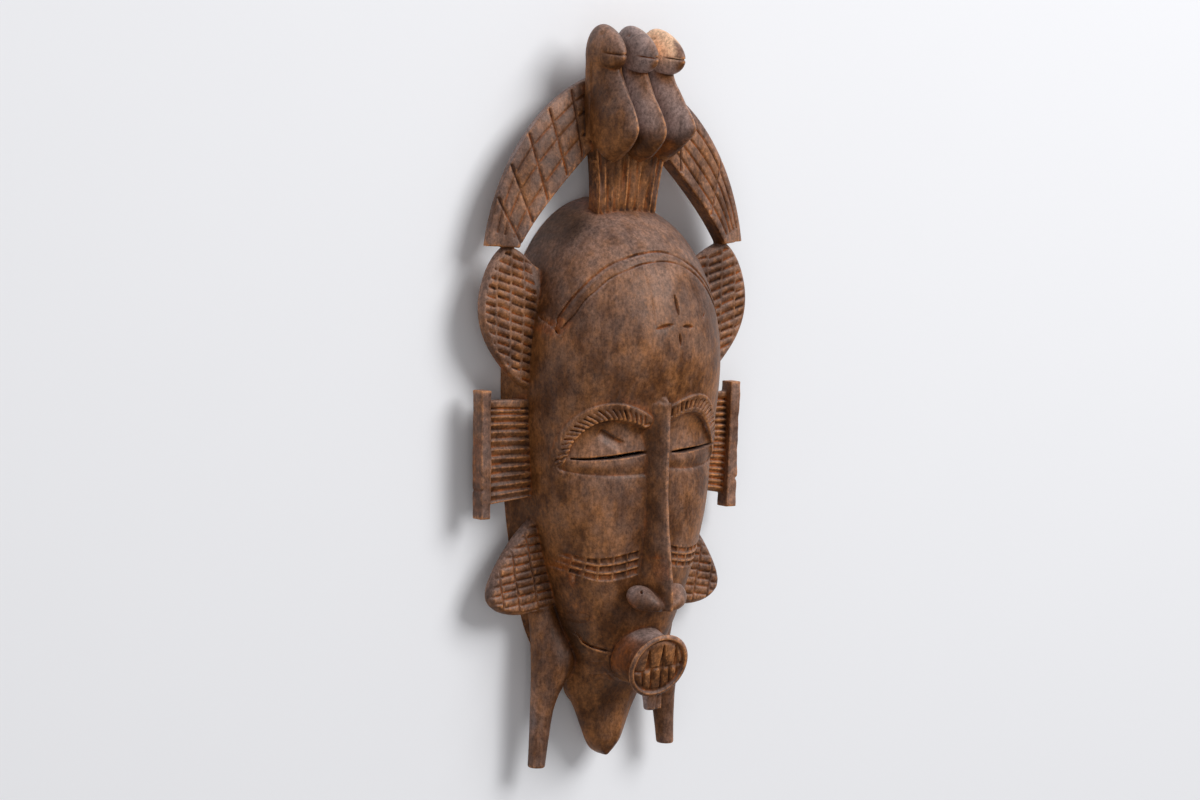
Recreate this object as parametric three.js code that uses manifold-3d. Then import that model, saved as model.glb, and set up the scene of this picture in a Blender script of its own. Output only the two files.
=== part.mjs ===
// A carved wooden face mask with a crest of three birds, lying on its hollow back.
// Millimetres. X runs to the right of someone who faces it, Y up the mask, Z out of the face.
// Heights are measured from the brow line and depths from the flat back rim.
import * as THREE from "three";
import { mergeVertices } from "three/addons/utils/BufferGeometryUtils.js";
import Module from "manifold-3d";

// Head: the oval back rim, the seam where the sides turn into the front, and the front profile
const CROWN = 122.5;
const JAW_END = -172;
const WIDEST = 15;
const RIM_HALF = 66;
const SEAM_HALF = 62.3;
const SEAM_DEPTH = 24;
const FOREHEAD_TOP = 30;
const FOREHEAD_DEPTH = 83.5;
// Each pair below the widest part is a height and the half width, or the depth, there
const RIM_BELOW = [
  [-172, 5], [-166, 14], [-158, 28], [-149, 38.5], [-128, 48], [-85, 57.5], [-35, 64], [15, 66]];
const SEAM_BELOW = [
  [-180, 15], [-170, 21.5], [-150, 27.5], [-134, 33.8], [-110, 42.3], [-85, 50.5], [-55, 57.3],
  [15, SEAM_HALF]];
const FRONT_BELOW = [
  [-180, 22], [-170, 31.5], [-150, 51], [-130, 61], [-105, 66.5], [-60, 70], [-22, 71], [0, 75.5],
  [FOREHEAD_TOP, FOREHEAD_DEPTH]];
const WALL = 9;

// Side ornaments: slabs that stand off the floor
const LOOP = { back: 19, front: 26 };
const TAB = { back: 18, front: 25 };
const PANEL_BACK = 14;
const PANEL_FRONT = 19.5;
// How much further out a panel's front is beside the head than beside its bar
const PANEL_CLIMB = 4.5;
const BAR = { inner: 87.2, outer: 94.2, top: 10.3, bottom: -65.8, back: 13.5, front: 24 };
const PANEL = { inner: 56, outer: 90, top: 4.6, bottomOuter: -58.5, bottomInner: -52.5 };
const PANEL_RIDGES = { left: 11, right: 14 };

// Crest
const WING = { back: 18.5, innerFront: 31.5, outerFront: 23.5 };
const PEDESTAL_FOOT = { y: 108, half: 20.6, back: 22, front: 33 };
const PEDESTAL_TOP = { y: 158, half: 26.2, back: 25.5, front: 38.5 };
const FLUTES = 9;
const BIRD_PITCH = 18.8;
const BIRD_HALF = 10.5;
const NECK_BACK = { front: 33, back: 22.6, half: 10, low: 157, high: 210 };
// Height and the depth of the keel, of the underside and back, and the half width there
const KEEL = [
  [145.2, 46], [148.5, 53], [152, 59], [156, 64.5], [160.5, 69.5], [165, 71.8], [169, 70.5],
  [174, 66.5], [180, 61], [188, 55], [194, 51], [204, 47]];
const BIRD_BACK = [[145.2, 43], [148.5, 41], [152, 37.5], [156, 33.5], [162, 29], [170, 27], [204, 27]];
const BIRD_WIDE = [
  [145.2, 2], [148.5, 6.8], [152, 9], [159, BIRD_HALF], [175, 10.2], [184, 9.5], [204, 9]];
const HEAD_LENGTH = { middle: 33, behind: 11.6 };
const HEAD_HALF = 9.8;
const CHEEK_TALL = 9.6;
// From the left: the top of each head, how far out its beak comes, and how high and where it is
const BIRD_HEADS = [
  { top: 226.2, beak: 55.2, up: 206.2, shift: -0.7 }, { top: 225, beak: 61.2, up: 206.2, shift: 0 },
  { top: 223.4, beak: 62, up: 205.4, shift: 0 }];

// Face
const NOSE = { top: 4.8, tip: -117.6, topHalf: 7.8, tipHalf: 10, ridgeHalf: 1.5 };
const NOSE_END = { x: -2.9, y: 5.2, wide: 7, tall: 7, low: 58, front: 77.6 };
const NOSTRIL = { x: 10.9, y: -111.2, z: 76, radii: [11.4, 7.2, 6.6], under: -117.7 };
const NOSTRIL_LEAN = THREE.MathUtils.degToRad(34);
const NOSTRIL_TURN = THREE.MathUtils.degToRad(38);
const BROW_NOTCHES = 16;
const BROW_HALF = 4.6;
const MOUTH = { middle: 1.3, height: -151.7, depth: 76, radius: 20.8, neck: 17, length: 36 };
const MOUTH_TILT = THREE.MathUtils.degToRad(20.5);
const SLIT = { inner: 9.5, outer: 50, half: 1, height: -25.3, rise: 0.075 };
const CHIN_TIP = -211.5;
const CHIN_MIDDLE = 1;
const FEET = { left: -216.5, right: -208.3 };
const PEG = { x: 3, z: 64, top: -162, bottom: -179, wide: 4.6, narrow: 3.7 };
const PEG_STEP = { x: 8, z: 63.6, wide: 4.2, deep: 5.2, top: -160.4, bottom: -178.4 };

const wasm = await Module();
wasm.setup();

// Solids

function solidOf(geometry) {
  geometry.deleteAttribute("normal");
  geometry.deleteAttribute("uv");
  const merged = mergeVertices(geometry, 1e-4);
  const corners = Float32Array.from(merged.attributes.position.array);
  const faces = Uint32Array.from(merged.index.array);
  if (volumeOf(corners, faces) < 0) {
    for (let i = 0; i < faces.length; i += 3) {
      [faces[i], faces[i + 1]] = [faces[i + 1], faces[i]];
    }
  }
  return new wasm.Manifold(new wasm.Mesh({ numProp: 3, vertProperties: corners, triVerts: faces }));
}

function volumeOf(corners, faces) {
  const [a, b, c] = [new THREE.Vector3(), new THREE.Vector3(), new THREE.Vector3()];
  let volume = 0;
  for (let i = 0; i < faces.length; i += 3) {
    a.fromArray(corners, 3 * faces[i]);
    b.fromArray(corners, 3 * faces[i + 1]);
    c.fromArray(corners, 3 * faces[i + 2]);
    volume += a.dot(b.cross(c)) / 6;
  }
  return volume;
}

// A closed skin over rings of equal length, with both end rings filled from their middle
function loft(rings) {
  const count = rings[0].length;
  const points = rings.flat();
  const faces = [];
  for (let r = 0; r + 1 < rings.length; r++) {
    for (let i = 0; i < count; i++) {
      const j = (i + 1) % count;
      const [p, q] = [r * count, (r + 1) * count];
      faces.push(p + i, p + j, q + j, p + i, q + j, q + i);
    }
  }
  for (const end of [0, rings.length - 1]) {
    if (count < 5) {
      for (let i = 1; i + 1 < count; i++) {
        const fan = [0, i, i + 1].map((k) => end * count + k);
        faces.push(...(end ? fan : fan.reverse()));
      }
      continue;
    }
    const middle = points.length;
    points.push(rings[end].reduce((sum, p) => sum.add(p), new THREE.Vector3()).divideScalar(count));
    for (let i = 0; i < count; i++) {
      const pair = [end * count + i, end * count + (i + 1) % count];
      faces.push(middle, ...(end ? pair : pair.reverse()));
    }
  }
  const geometry = new THREE.BufferGeometry().setFromPoints(points);
  geometry.setIndex(faces);
  return solidOf(geometry);
}

// A slab of a flat outline, with its front edge eased by a bevel
function slab(outline, back, front, bevel = 0) {
  const all = outline.getPoints(2);
  const points = all.filter((p, i) => p.distanceTo(all[(i + 1) % all.length]) > 0.01);
  if (THREE.ShapeUtils.isClockWise(points)) points.reverse();
  const middle = points.reduce((sum, p) => sum.clone().add(p)).divideScalar(points.length);
  const eased = points.map((p) => p.clone().lerp(middle, bevel / Math.max(p.distanceTo(middle), bevel)));
  const layers = [[points, back], [points, front - 0.6 * bevel]];
  if (bevel > 0) layers.push([eased, front]);
  const count = points.length;
  const corners = layers.flatMap(([ring, z]) => ring.map((p) => at(p.x, p.y, z)));
  const faces = [];
  for (let r = 0; r + 1 < layers.length; r++) {
    for (let i = 0; i < count; i++) {
      const [p, q, j] = [r * count, (r + 1) * count, (i + 1) % count];
      faces.push(p + i, p + j, q + j, p + i, q + j, q + i);
    }
  }
  const top = (layers.length - 1) * count;
  for (const [a, b, c] of THREE.ShapeUtils.triangulateShape(points, [])) {
    faces.push(...[c, b, a]);
    faces.push(...[a, b, c].map((k) => top + k));
  }
  return solidOf(new THREE.BufferGeometry().setFromPoints(corners).setIndex(faces));
}

function egg(place, radii, turn = new THREE.Euler(), around = 12, down = 8) {
  const geometry = new THREE.SphereGeometry(1, around, down);
  geometry.scale(...radii);
  geometry.applyQuaternion(new THREE.Quaternion().setFromEuler(turn));
  geometry.translate(...place);
  return solidOf(geometry);
}

function box(middle, size) {
  return solidOf(new THREE.BoxGeometry(...size).translate(...middle));
}

// A V-shaped cut that follows a path; out gives the direction out of the wood at a point
function groove(path, out, width, depth, rise = 1.5) {
  const rings = path.map((point, i) => {
    const along = path[Math.min(i + 1, path.length - 1)].clone().sub(path[Math.max(i - 1, 0)]).normalize();
    const up = out(point);
    const side = along.cross(up).normalize().multiplyScalar((width / 2) * (1 + rise / depth));
    const above = point.clone().addScaledVector(up, rise);
    return [above.clone().add(side), above.clone().sub(side), point.clone().addScaledVector(up, -depth)];
  });
  return loft(rings);
}

const joinAll = (solids) => solids.reduce((whole, next) => whole.add(next));
const cutAll = (solid, cutters) => (cutters.length ? solid.subtract(joinAll(cutters)) : solid);
const at = (x, y, z) => new THREE.Vector3(x, y, z);
const steps = (count, make) => Array.from({ length: count }, (_, i) => make(i / (count - 1)));
const turns = (count) => Array.from({ length: count }, (_, i) => (2 * Math.PI * i) / count);
const mix = THREE.MathUtils.lerp;
const outward = () => at(0, 0, 1);

// A smooth value along pairs of height and size
function through(pairs, y) {
  const last = pairs.length - 1;
  if (y <= pairs[0][0]) return pairs[0][1];
  if (y >= pairs[last][0]) return pairs[last][1];
  const i = pairs.findIndex(([height]) => height > y) - 1;
  const slope = (k) => {
    const [a, b] = [pairs[Math.max(k - 1, 0)], pairs[Math.min(k + 1, last)]];
    return (b[1] - a[1]) / (b[0] - a[0]);
  };
  const [[y0, v0], [y1, v1]] = [pairs[i], pairs[i + 1]];
  const [gap, t] = [y1 - y0, (y - y0) / (y1 - y0)];
  const bend = (t - 1) * (t - 1) * t * slope(i) + (t - 1) * t * t * slope(i + 1);
  return v0 + (v1 - v0) * t * t * (3 - 2 * t) + gap * bend;
}

// Head

const roundOff = (s, power) => Math.max(1 - Math.max(s, 0) ** power, 0) ** (1 / power);
const domeWidth = (y) => roundOff((y - WIDEST) / (CROWN - WIDEST), 2.2);
const rimHalf = (y) => (y > WIDEST ? RIM_HALF * domeWidth(y) : through(RIM_BELOW, y));
const seamHalf = (y) => (y > WIDEST ? SEAM_HALF * domeWidth(y) : through(SEAM_BELOW, y));
const domeDepth = (y) => FOREHEAD_DEPTH * roundOff((y - FOREHEAD_TOP) / (CROWN - FOREHEAD_TOP), 2.1);
const frontDepth = (y) => (y > FOREHEAD_TOP ? domeDepth(y) : through(FRONT_BELOW, y));
const seamDepth = (y) => Math.min(SEAM_DEPTH, 0.45 * frontDepth(y));
const squareness = (y) => mix(2.5, 2.2, THREE.MathUtils.smoothstep(y, -10, 40));

function faceDepth(x, y) {
  const power = squareness(y);
  const across = Math.min(Math.abs(x) / seamHalf(y), 1);
  return seamDepth(y) + (frontDepth(y) - seamDepth(y)) * (1 - across ** power) ** (1 / power);
}

const onFace = (x, y, lift = 0) => at(x, y, faceDepth(x, y) + lift);

function faceNormal(point) {
  const e = 0.5;
  const slopeX = faceDepth(point.x + e, point.y) - faceDepth(point.x - e, point.y);
  const slopeY = faceDepth(point.x, point.y + e) - faceDepth(point.x, point.y - e);
  return at(-slopeX, -slopeY, 2 * e).normalize();
}

// One cross-section of the head, from the flat rim round over the face
function headRing(y, arcSteps) {
  const power = squareness(y);
  const [rim, seam, low] = [rimHalf(y), seamHalf(y), seamDepth(y)];
  const high = frontDepth(y) - low;
  const arc = steps(arcSteps, (t) => {
    const angle = Math.PI * t;
    const shape = (v) => Math.sign(v) * Math.abs(v) ** (2 / power);
    return at(seam * shape(Math.cos(angle)), y, low + high * shape(Math.sin(angle)));
  });
  return [at(-rim, y, 0), at(rim, y, 0), ...arc];
}

function headStations(low, high, count) {
  return steps(count, (t) => mix(low, high, Math.sin((Math.PI / 2) * t) * 0.5 + t * 0.5));
}

function makeHead() {
  return loft(headStations(JAW_END, CROWN - 0.15, 21).map((y) => headRing(y, 15)));
}

// The hollow follows the head from inside, a wall's thickness smaller all round
function makeHollow() {
  const across = 1 - WALL / RIM_HALF;
  const [above, below] = [1 - WALL / (CROWN - WIDEST), 1 - 1.3 * WALL / (WIDEST - JAW_END)];
  const out = 1 - 1.15 * WALL / (FOREHEAD_DEPTH - SEAM_DEPTH);
  return loft(headStations(JAW_END, CROWN - 0.5, 10).map((y) => headRing(y, 9).map((p) => {
    const z = p.z > 0 ? mix(seamDepth(y), p.z, out) : -1;
    return at(across * p.x, mix(WIDEST, y, y > WIDEST ? above : below), z);
  })));
}

// Chin: a pointed tongue with a flat front between two side facets

function makeChin() {
  const halves = [[CHIN_TIP, 1.5], [-208, 7], [-203, 11], [-195, 14.5], [-184, 19], [-172, 25], [-158, 28]];
  const backs = [[CHIN_TIP, 17], [-200, 14], [-184, 9], [-172, 6]];
  const heights = [CHIN_TIP, -209.5, -206, -200, -192, -182, -172, -158];
  return loft(heights.map((y) => {
    const half = through(halves, y);
    const tip = THREE.MathUtils.smoothstep(y, CHIN_TIP, -200);
    const [edge, back] = [mix(20, 21, tip), through(backs, y)];
    const ridge = mix(24, 28, tip) + 0.15 * Math.max(y + 190, 0);
    const right = [[0.75, back], [1, edge - 4], [1, edge], [0.4, ridge]];
    const left = right.map(([across, z]) => [-across, z]).reverse();
    return [...right, ...left].map(([across, z]) => at(CHIN_MIDDLE + across * half, y, z));
  }));
}

// Legs: round stumps that leave the jaw at a bulging knee

function makeLeg(side, foot) {
  const knee = side < 0 ? [37, 20, 14, 11.5] : [34, 20, 11.5, 11.5];
  // Height, the middle across and out, then the half width and half depth
  const stations = [
    [-112, 46, 16, 8, 7], [-132, 0.5 * (knee[0] + 46), 18, 10, 9], [-150, ...knee],
    [-164, 40.5, 20.5, 10.9, 9.9], [-180, 44, 20, 7.5, 7.7],
    [mix(-180, foot, 0.5), 45.6, 19.7, 6.1, 6.5], [foot, 47, 19.5, 5.3, 5.8]];
  return loft(stations.map(([y, x, z, wide, deep]) => turns(8).map((angle) => (
    at(side * (x + wide * Math.cos(angle)), y, z + deep * Math.sin(angle))
  ))));
}

// Nose, nostrils, eyes and brows

function makeNose() {
  const stations = [
    [NOSE.top, 79.6], [-2, 80.6], [-30, 81.2], [-63, 83.3], [-90, 86], [-111, 88], [NOSE.tip, 87.4]];
  return loft(stations.map(([y, ridge]) => {
    const t = (NOSE.top - y) / (NOSE.top - NOSE.tip);
    const half = mix(NOSE.topHalf, NOSE.tipHalf, t);
    const foot = faceDepth(half, y) - 0.5;
    const outline = [[-half, 50], [half, 50], [half, foot], [NOSE.ridgeHalf, ridge - 0.8]];
    outline.push([0, ridge], [-NOSE.ridgeHalf, ridge - 0.8], [-half, foot]);
    return outline.map(([x, z]) => at(x, y, z));
  }));
}

// The worn upper end of the nose, which stands a little above its ridge
function makeNoseEnd() {
  const { x, y, wide, tall, low, front } = NOSE_END;
  return box([x, y, 0.5 * (low + front)], [wide, tall, front - low]);
}

// A swelling wing with a flat underside
function makeNostril(side) {
  const turn = new THREE.Euler(0, side * NOSTRIL_TURN, side * NOSTRIL_LEAN, "ZYX");
  const wing = egg([side * NOSTRIL.x, NOSTRIL.y, NOSTRIL.z], NOSTRIL.radii, turn, 10, 7);
  return cutAll(wing, [box([side * NOSTRIL.x, NOSTRIL.under - 10, NOSTRIL.z], [40, 20, 40])]);
}

function lidHollow(side) {
  const place = onFace(side * 30.5, side < 0 ? -15 : -13);
  const turn = new THREE.Euler(0, side * 0.38, side * 0.06);
  return egg([place.x, place.y, place.z + 12.6], [27.5, 19, 16], turn, 12, 8);
}

function eyeSlit(side) {
  const height = (x) => SLIT.height + side * SLIT.rise * x;
  const rings = steps(5, (t) => {
    const x = mix(SLIT.inner, SLIT.outer, t);
    const half = t === 0 || t === 1 ? 0.3 : SLIT.half;
    const y = height(x);
    const [low, high] = [faceDepth(x, y) - 30, faceDepth(x, y) + 6];
    const corners = [[y - half, low], [y + half, low], [y + half, high], [y - half, high]];
    return corners.map(([v, z]) => at(side * x, v, z));
  });
  return loft(rings);
}

// The middle line of a brow, an arc from its outer end over the eye to the nose
function browPoint(side, t) {
  const arc = side < 0 ? { x: 30, wide: 25.8, tall: 33.2 } : { x: 23.5, wide: 28.4, tall: 36.8 };
  const angle = THREE.MathUtils.degToRad(mix(183, 52, t));
  return onFace(side * (arc.x - arc.wide * Math.cos(angle)), -33 + arc.tall * Math.sin(angle), -0.6);
}

// A brow is a raised band whose crest rises and falls once for each notch
function makeBrow(side) {
  const count = 2 * BROW_NOTCHES + 1;
  const path = steps(count, (t) => browPoint(side, t));
  return loft(path.map((point, i) => {
    const along = path[Math.min(i + 1, count - 1)].clone().sub(path[Math.max(i - 1, 0)]).normalize();
    const up = faceNormal(point);
    const across = along.clone().cross(up).normalize().multiplyScalar(side * BROW_HALF);
    const crest = i % 2 ? 1.1 : 2.6;
    const lean = along.multiplyScalar(side * 1.6);
    const corner = (s, h) => (
      point.clone().addScaledVector(across, s).addScaledVector(lean, s * side).addScaledVector(up, h)
    );
    return [corner(-1, -3.5), corner(1, -3.5), corner(0.75, crest), corner(-0.75, crest)];
  }));
}

function lidFold(side) {
  return groove(steps(8, (t) => {
    const x = mix(10, 55, t);
    return onFace(side * x, (side < 0 ? -35.5 : -32.2) - 2.2 * Math.sin(Math.PI * t));
  }), faceNormal, 2, 1.3);
}

// Incised marks: cheek bands, hair band, forehead cross and smile lines

// A sunk cell whose four sides slope in to a ridge line at the bottom
function pit(corners, up, depth, rise = 1) {
  const lifted = corners.map((p) => p.clone().addScaledVector(up, rise));
  const low = [[0, 3], [1, 2]].map(([a, b]) => (
    corners[a].clone().add(corners[b]).multiplyScalar(0.5).addScaledVector(up, -depth)
  ));
  const sunk = [low[0].clone().lerp(low[1], 0.12), low[1].clone().lerp(low[0], 0.12)];
  return loft([[lifted[0], lifted[3], sunk[0]], [lifted[1], lifted[2], sunk[1]]]);
}

function cheekBand(side) {
  const [inner, outer, rows, columns, pitch] = [10, 46.5, 3, 5, 4.9];
  const top = side < 0 ? -82 : -80;
  const drop = (x) => 1.5 * (x / outer) + 3.4 * Math.sin((Math.PI * (x - inner)) / (outer - inner));
  const cells = [];
  for (let row = 0; row < rows; row++) {
    for (let column = 0; column < columns; column++) {
      const [near, far] = [0.06, 0.94].map((k) => mix(inner, outer, (column + k) / columns));
      const [high, low] = [0.1, 0.9].map((k) => top - (row + k) * pitch);
      const frame = [[near, high], [far, high], [far, low], [near, low]];
      const corners = frame.map(([x, y]) => onFace(side * x, y - drop(x)));
      const middle = corners[0].clone().lerp(corners[2], 0.5);
      cells.push(pit(corners, faceNormal(middle), 1.5, 1.8));
    }
  }
  return cells;
}

function hairBand() {
  const band = (rise, half) => groove(steps(9, (t) => {
    const across = Math.sin((Math.PI / 2) * mix(-1, 1, t));
    const power = across < 0 ? 3 : 2.15;
    return onFace(across * half, 46.5 + rise * (1 - Math.abs(across) ** power));
  }), faceNormal, 1.9, 1.5);
  return [band(46.3, 57), band(41.2, 55)];
}

function foreheadCross() {
  const [x, y] = [5, 51];
  return [[0, 1, 16.5], [1, 0, 11], [0, -1, 11], [-1, 0, 16]].map(([dx, dy, reach]) => {
    const along = [3, 0.5 * (3 + reach), reach].map((t) => onFace(x + dx * t, y + dy * t));
    const rings = along.map((point, i) => {
      const [half, depth] = i === 1 ? [2.3, 1.9] : [0.2, 0.1];
      const up = faceNormal(point);
      const side = at(-dy, dx, 0).multiplyScalar(half);
      const above = point.clone().addScaledVector(up, 1.5);
      return [above.clone().add(side), above.clone().sub(side), point.clone().addScaledVector(up, -depth)];
    });
    return loft(rings);
  });
}

function smileLines() {
  return [-1, 1].map((side) => groove(steps(3, (t) => (
    onFace(side * mix(30, 15, t), mix(-135, -147, t))
  )), faceNormal, 2, 1.2));
}

// Mouth: a short tube whose round end is carved with two rows of teeth, with a peg in the lower lip

function makeMouth() {
  const local = (geometry) => {
    geometry.rotateX(MOUTH_TILT);
    geometry.translate(MOUTH.middle, MOUTH.height, MOUTH.depth);
    return geometry;
  };
  const { radius, neck, length } = MOUTH;
  const profile = [[0, -length], [neck, -length], [neck + 1.2, -10], [neck + 2.2, -5], [radius, -2]];
  profile.push([radius - 0.6, 0], [radius - 2.8, 0], [radius - 3.6, -2], [0, -1.3]);
  const turned = new THREE.LatheGeometry(profile.map(([r, z]) => new THREE.Vector2(r, z)), 14);
  turned.rotateX(Math.PI / 2);
  const tube = solidOf(local(turned));
  const place = new THREE.Matrix4().makeRotationX(MOUTH_TILT);
  place.setPosition(MOUTH.middle, MOUTH.height, MOUTH.depth);
  const up = at(0, 0, 1).transformDirection(place);
  const onDisc = ([x, y]) => at(x, y, -1.2).applyMatrix4(place);
  const line = (from, to, width, depth) => groove([from, to].map(onDisc), () => up, width, depth);
  const reach = radius - 4.6;
  const cuts = [line([-reach, -1.5], [reach, 1], 2.2, 1.6)];
  for (const x of [-8.2, 0, 8]) {
    const end = Math.sqrt(reach * reach - x * x) - 1;
    cuts.push(line([x, 0.4], [x - 0.4, end], 2.4, 1.4), line([x - 0.8, -1], [x - 1.6, -end], 2, 1.4));
  }
  return joinAll([cutAll(tube, cuts), makePeg(), makePegStep()]);
}

function makePeg() {
  const peg = new THREE.CylinderGeometry(PEG.wide, PEG.narrow, PEG.top - PEG.bottom, 10);
  peg.translate(PEG.x, 0.5 * (PEG.top + PEG.bottom), PEG.z);
  return solidOf(peg);
}

function makePegStep() {
  const { x, z, wide, deep, top, bottom } = PEG_STEP;
  return box([x, 0.5 * (top + bottom), z], [wide, top - bottom, deep]);
}

// Hair loops, ear panels and lower tabs

const mirrored = (side, points) => points.map(([x, y]) => new THREE.Vector2(side * x, y));

// Rows of sunk cells between upright ridges, kept inside an outline
function hatch(side, front, middle, rows, pitch, ridges, edge) {
  const cells = [];
  for (let row = 0; row < rows; row++) {
    const y = middle + (row - (rows - 1) / 2) * pitch;
    for (let column = 0; column + 1 < ridges.length; column++) {
      const from = through(ridges[column], y) + 0.7;
      const to = Math.min(through(ridges[column + 1], y) - 0.7, through(edge, y));
      if (to - from > 3) {
        const half = 0.4 * pitch;
        const frame = [[from, y - 1 + half], [to, y + half], [to, y - half], [from, y - 1 - half]];
        const corners = frame.map(([x, v]) => at(side * x, v, front));
        cells.push(pit(corners, at(0, 0, 1), 1.8, 0));
      }
    }
  }
  return cells;
}

function hairLoop(side) {
  const outline = new THREE.Shape();
  const points = mirrored(side, [
    [55, 84], [68, 91.5], [79, 95], [89, 85], [95, 69], [95.5, 54], [91, 40], [82, 27], [70, 15], [58, 9]]);
  outline.moveTo(points[0].x, points[0].y);
  outline.lineTo(points[1].x, points[1].y);
  outline.splineThru(points.slice(2));
  outline.closePath();
  const body = slab(outline, LOOP.back, LOOP.front, 1.4);
  const edge = [[15, 68], [27, 77], [40, 86], [55, 91], [69, 91], [82, 85.5], [92, 79]];
  const ridges = [61.5, 71, 80.5, 92].map((x) => [[10, x - 2], [54, x], [92, x + 1]]);
  return cutAll(body, hatch(side, LOOP.front, 54, 14, 5.3, ridges, edge));
}

function earPanel(side) {
  const { inner, outer, top, bottomInner, bottomOuter } = PANEL;
  const ends = [[inner, bottomInner, PANEL_FRONT + PANEL_CLIMB], [outer, bottomOuter, PANEL_FRONT]];
  const plate = loft(ends.map(([x, bottom, front]) => {
    const corners = [[top, PANEL_BACK], [bottom, PANEL_BACK], [bottom, front], [top, front]];
    return corners.map(([y, z]) => at(side * x, y, z));
  }));
  const bar = new THREE.Shape(mirrored(side, [
    [BAR.inner, BAR.top], [BAR.outer, BAR.top], [BAR.outer - 1.4, BAR.bottom],
    [BAR.inner - 1.4, BAR.bottom]]));
  const ridges = side < 0 ? PANEL_RIDGES.left : PANEL_RIDGES.right;
  const pitch = (top - bottomInner - 3) / ridges;
  const cuts = steps(ridges, (t) => {
    const y = mix(top - pitch * 0.6, bottomInner + pitch * 0.6, t);
    const near = at(side * (inner - 1), y, PANEL_FRONT + PANEL_CLIMB);
    const far = at(side * 86.4, y - mix(0, 3.5, t), PANEL_FRONT + 0.1 * PANEL_CLIMB);
    return groove([near, far], outward, 0.76 * pitch, 2, 0.4);
  });
  return cutAll(plate, cuts).add(slab(bar, BAR.back, BAR.front, 0.8));
}

function lowerTab(side) {
  const outline = new THREE.Shape();
  const reach = side < 0 ? 1 : 0.955;
  const points = mirrored(side * reach, [
    [50, -62], [58, -68], [69, -79], [79, -93], [85.3, -106], [85, -115], [77, -121.5], [64, -124],
    [50, -122.5], [36, -119]]);
  outline.moveTo(points[0].x, points[0].y);
  outline.splineThru(points.slice(1));
  outline.closePath();
  const body = slab(outline, TAB.back, TAB.front, 2.2);
  const edge = [[-120, 74], [-112, 82], [-104, 80.5], [-91, 73.5], [-78, 63.5], [-70, 56]];
  const ridges = [[43, 52], [54, 57], [66, 62], [84, 70]].map(([low, high]) => [[-122, low], [-70, high]]);
  return cutAll(body, hatch(side, TAB.front, -94.5, 11, 4.8, ridges, edge));
}

// Crest: wings, pedestal and birds

const wingOuter = new THREE.CubicBezierCurve(at(19, 195), at(58, 182), at(86, 142), at(92.6, 95.4));
const wingInner = new THREE.CubicBezierCurve(at(19, 157), at(38, 139), at(62, 116), at(74.5, 94.5));

function makeWing(side) {
  const outline = new THREE.Shape();
  const rim = wingOuter.getPoints(7).concat(wingInner.getPoints(4).reverse());
  outline.setFromPoints(rim.map((p) => new THREE.Vector2(side * p.x, p.y)));
  const body = slab(outline, WING.back, WING.innerFront);
  const skin = (across, along) => {
    const [inner, outer] = [wingInner.getPoint(along), wingOuter.getPoint(along)];
    const z = mix(WING.innerFront, WING.outerFront, Math.max(across - 0.12, 0) / 0.88);
    return at(side * mix(inner.x, outer.x, across), mix(inner.y, outer.y, across), z);
  };
  const bevel = loft(steps(6, (t) => {
    const lift = [skin(0.12, t), skin(1, t)];
    const beyond = lift[1].clone().add(lift[1].clone().sub(lift[0]).multiplyScalar(0.15));
    return [lift[0], beyond, beyond.clone().setZ(40), lift[0].clone().setZ(40)];
  }));
  const tilt = at(side * 0.22, 0.1, 0.97).normalize();
  const cuts = [];
  const long = side < 0 ? [0.3, 0.55, 0.79] : [0.25, 0.5, 0.75];
  for (const across of long) {
    const [from, to] = side < 0 ? [0.04, 0.9] : [0.1, 0.97];
    cuts.push(groove(steps(4, (t) => skin(across, mix(from, to, t))), () => tilt, 1.9, 1.3));
  }
  const crossings = side < 0 ? [0.1, 0.27, 0.44, 0.6, 0.76] : [0.3, 0.62];
  const slant = side < 0 ? 0.2 : 0.06;
  for (const along of crossings) {
    cuts.push(groove([skin(0.96, along), skin(0.06, along + slant)], () => tilt, 1.9, 1.3));
  }
  return cutAll(body.subtract(bevel), cuts);
}

// A flaring block between the head and the birds, fluted on its front
function makePedestal() {
  const size = (name, t) => mix(PEDESTAL_FOOT[name], PEDESTAL_TOP[name], t);
  const halfAt = (t) => size("half", t * t);
  const body = loft([0, 0.5, 1].map((t) => {
    const [y, half, back, front] = [size("y", t), halfAt(t), size("back", t), size("front", t)];
    return [at(-half, y, back), at(half, y, back), at(half, y, front), at(-half, y, front)];
  }));
  const flutes = steps(FLUTES, (across) => groove([-0.1, 0.5, 1].map((t) => {
    const half = halfAt(t) - 2.4;
    return at(mix(-half, half, across), size("y", t), size("front", t));
  }), outward, 4, 2.4));
  return cutAll(body, flutes);
}

// One bird looks out of the crest: a keeled pear of a body, a short neck and an almond head.
// The three were cut by eye, so each head differs a little.
function makeBird(place) {
  const x = place * BIRD_PITCH;
  const heights = [145.2, 148, 152, 158, 165, 173, 186, 204];
  const half = [[-0.8, 0], [0.8, 0], [1, 0.3], [0.93, 0.52], [0.73, 0.7], [0.42, 0.87], [0, 1]];
  const outline = [...half, ...half.slice(2, 6).reverse().map(([s, h]) => [-s, h])];
  const body = loft(heights.map((y) => {
    const [front, back, wide] = [through(KEEL, y), through(BIRD_BACK, y), through(BIRD_WIDE, y)];
    return outline.map(([s, h]) => at(x + s * wide, y, mix(back, front, h)));
  }));
  const { shift } = BIRD_HEADS[place + 1];
  return joinAll([body, backOfBird(x + shift), headOfBird(x + shift, BIRD_HEADS[place + 1])]);
}

// The plain wood behind the neck and the body
function backOfBird(x) {
  const { front, back, half, low, high } = NECK_BACK;
  const edge = mix(back, front, 0.5);
  return loft([low, high].map((y) => [
    at(x - half, y, front), at(x - half, y, edge), at(x - 0.7 * half, y, back),
    at(x + 0.7 * half, y, back), at(x + half, y, edge), at(x + half, y, front)]));
}

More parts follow.
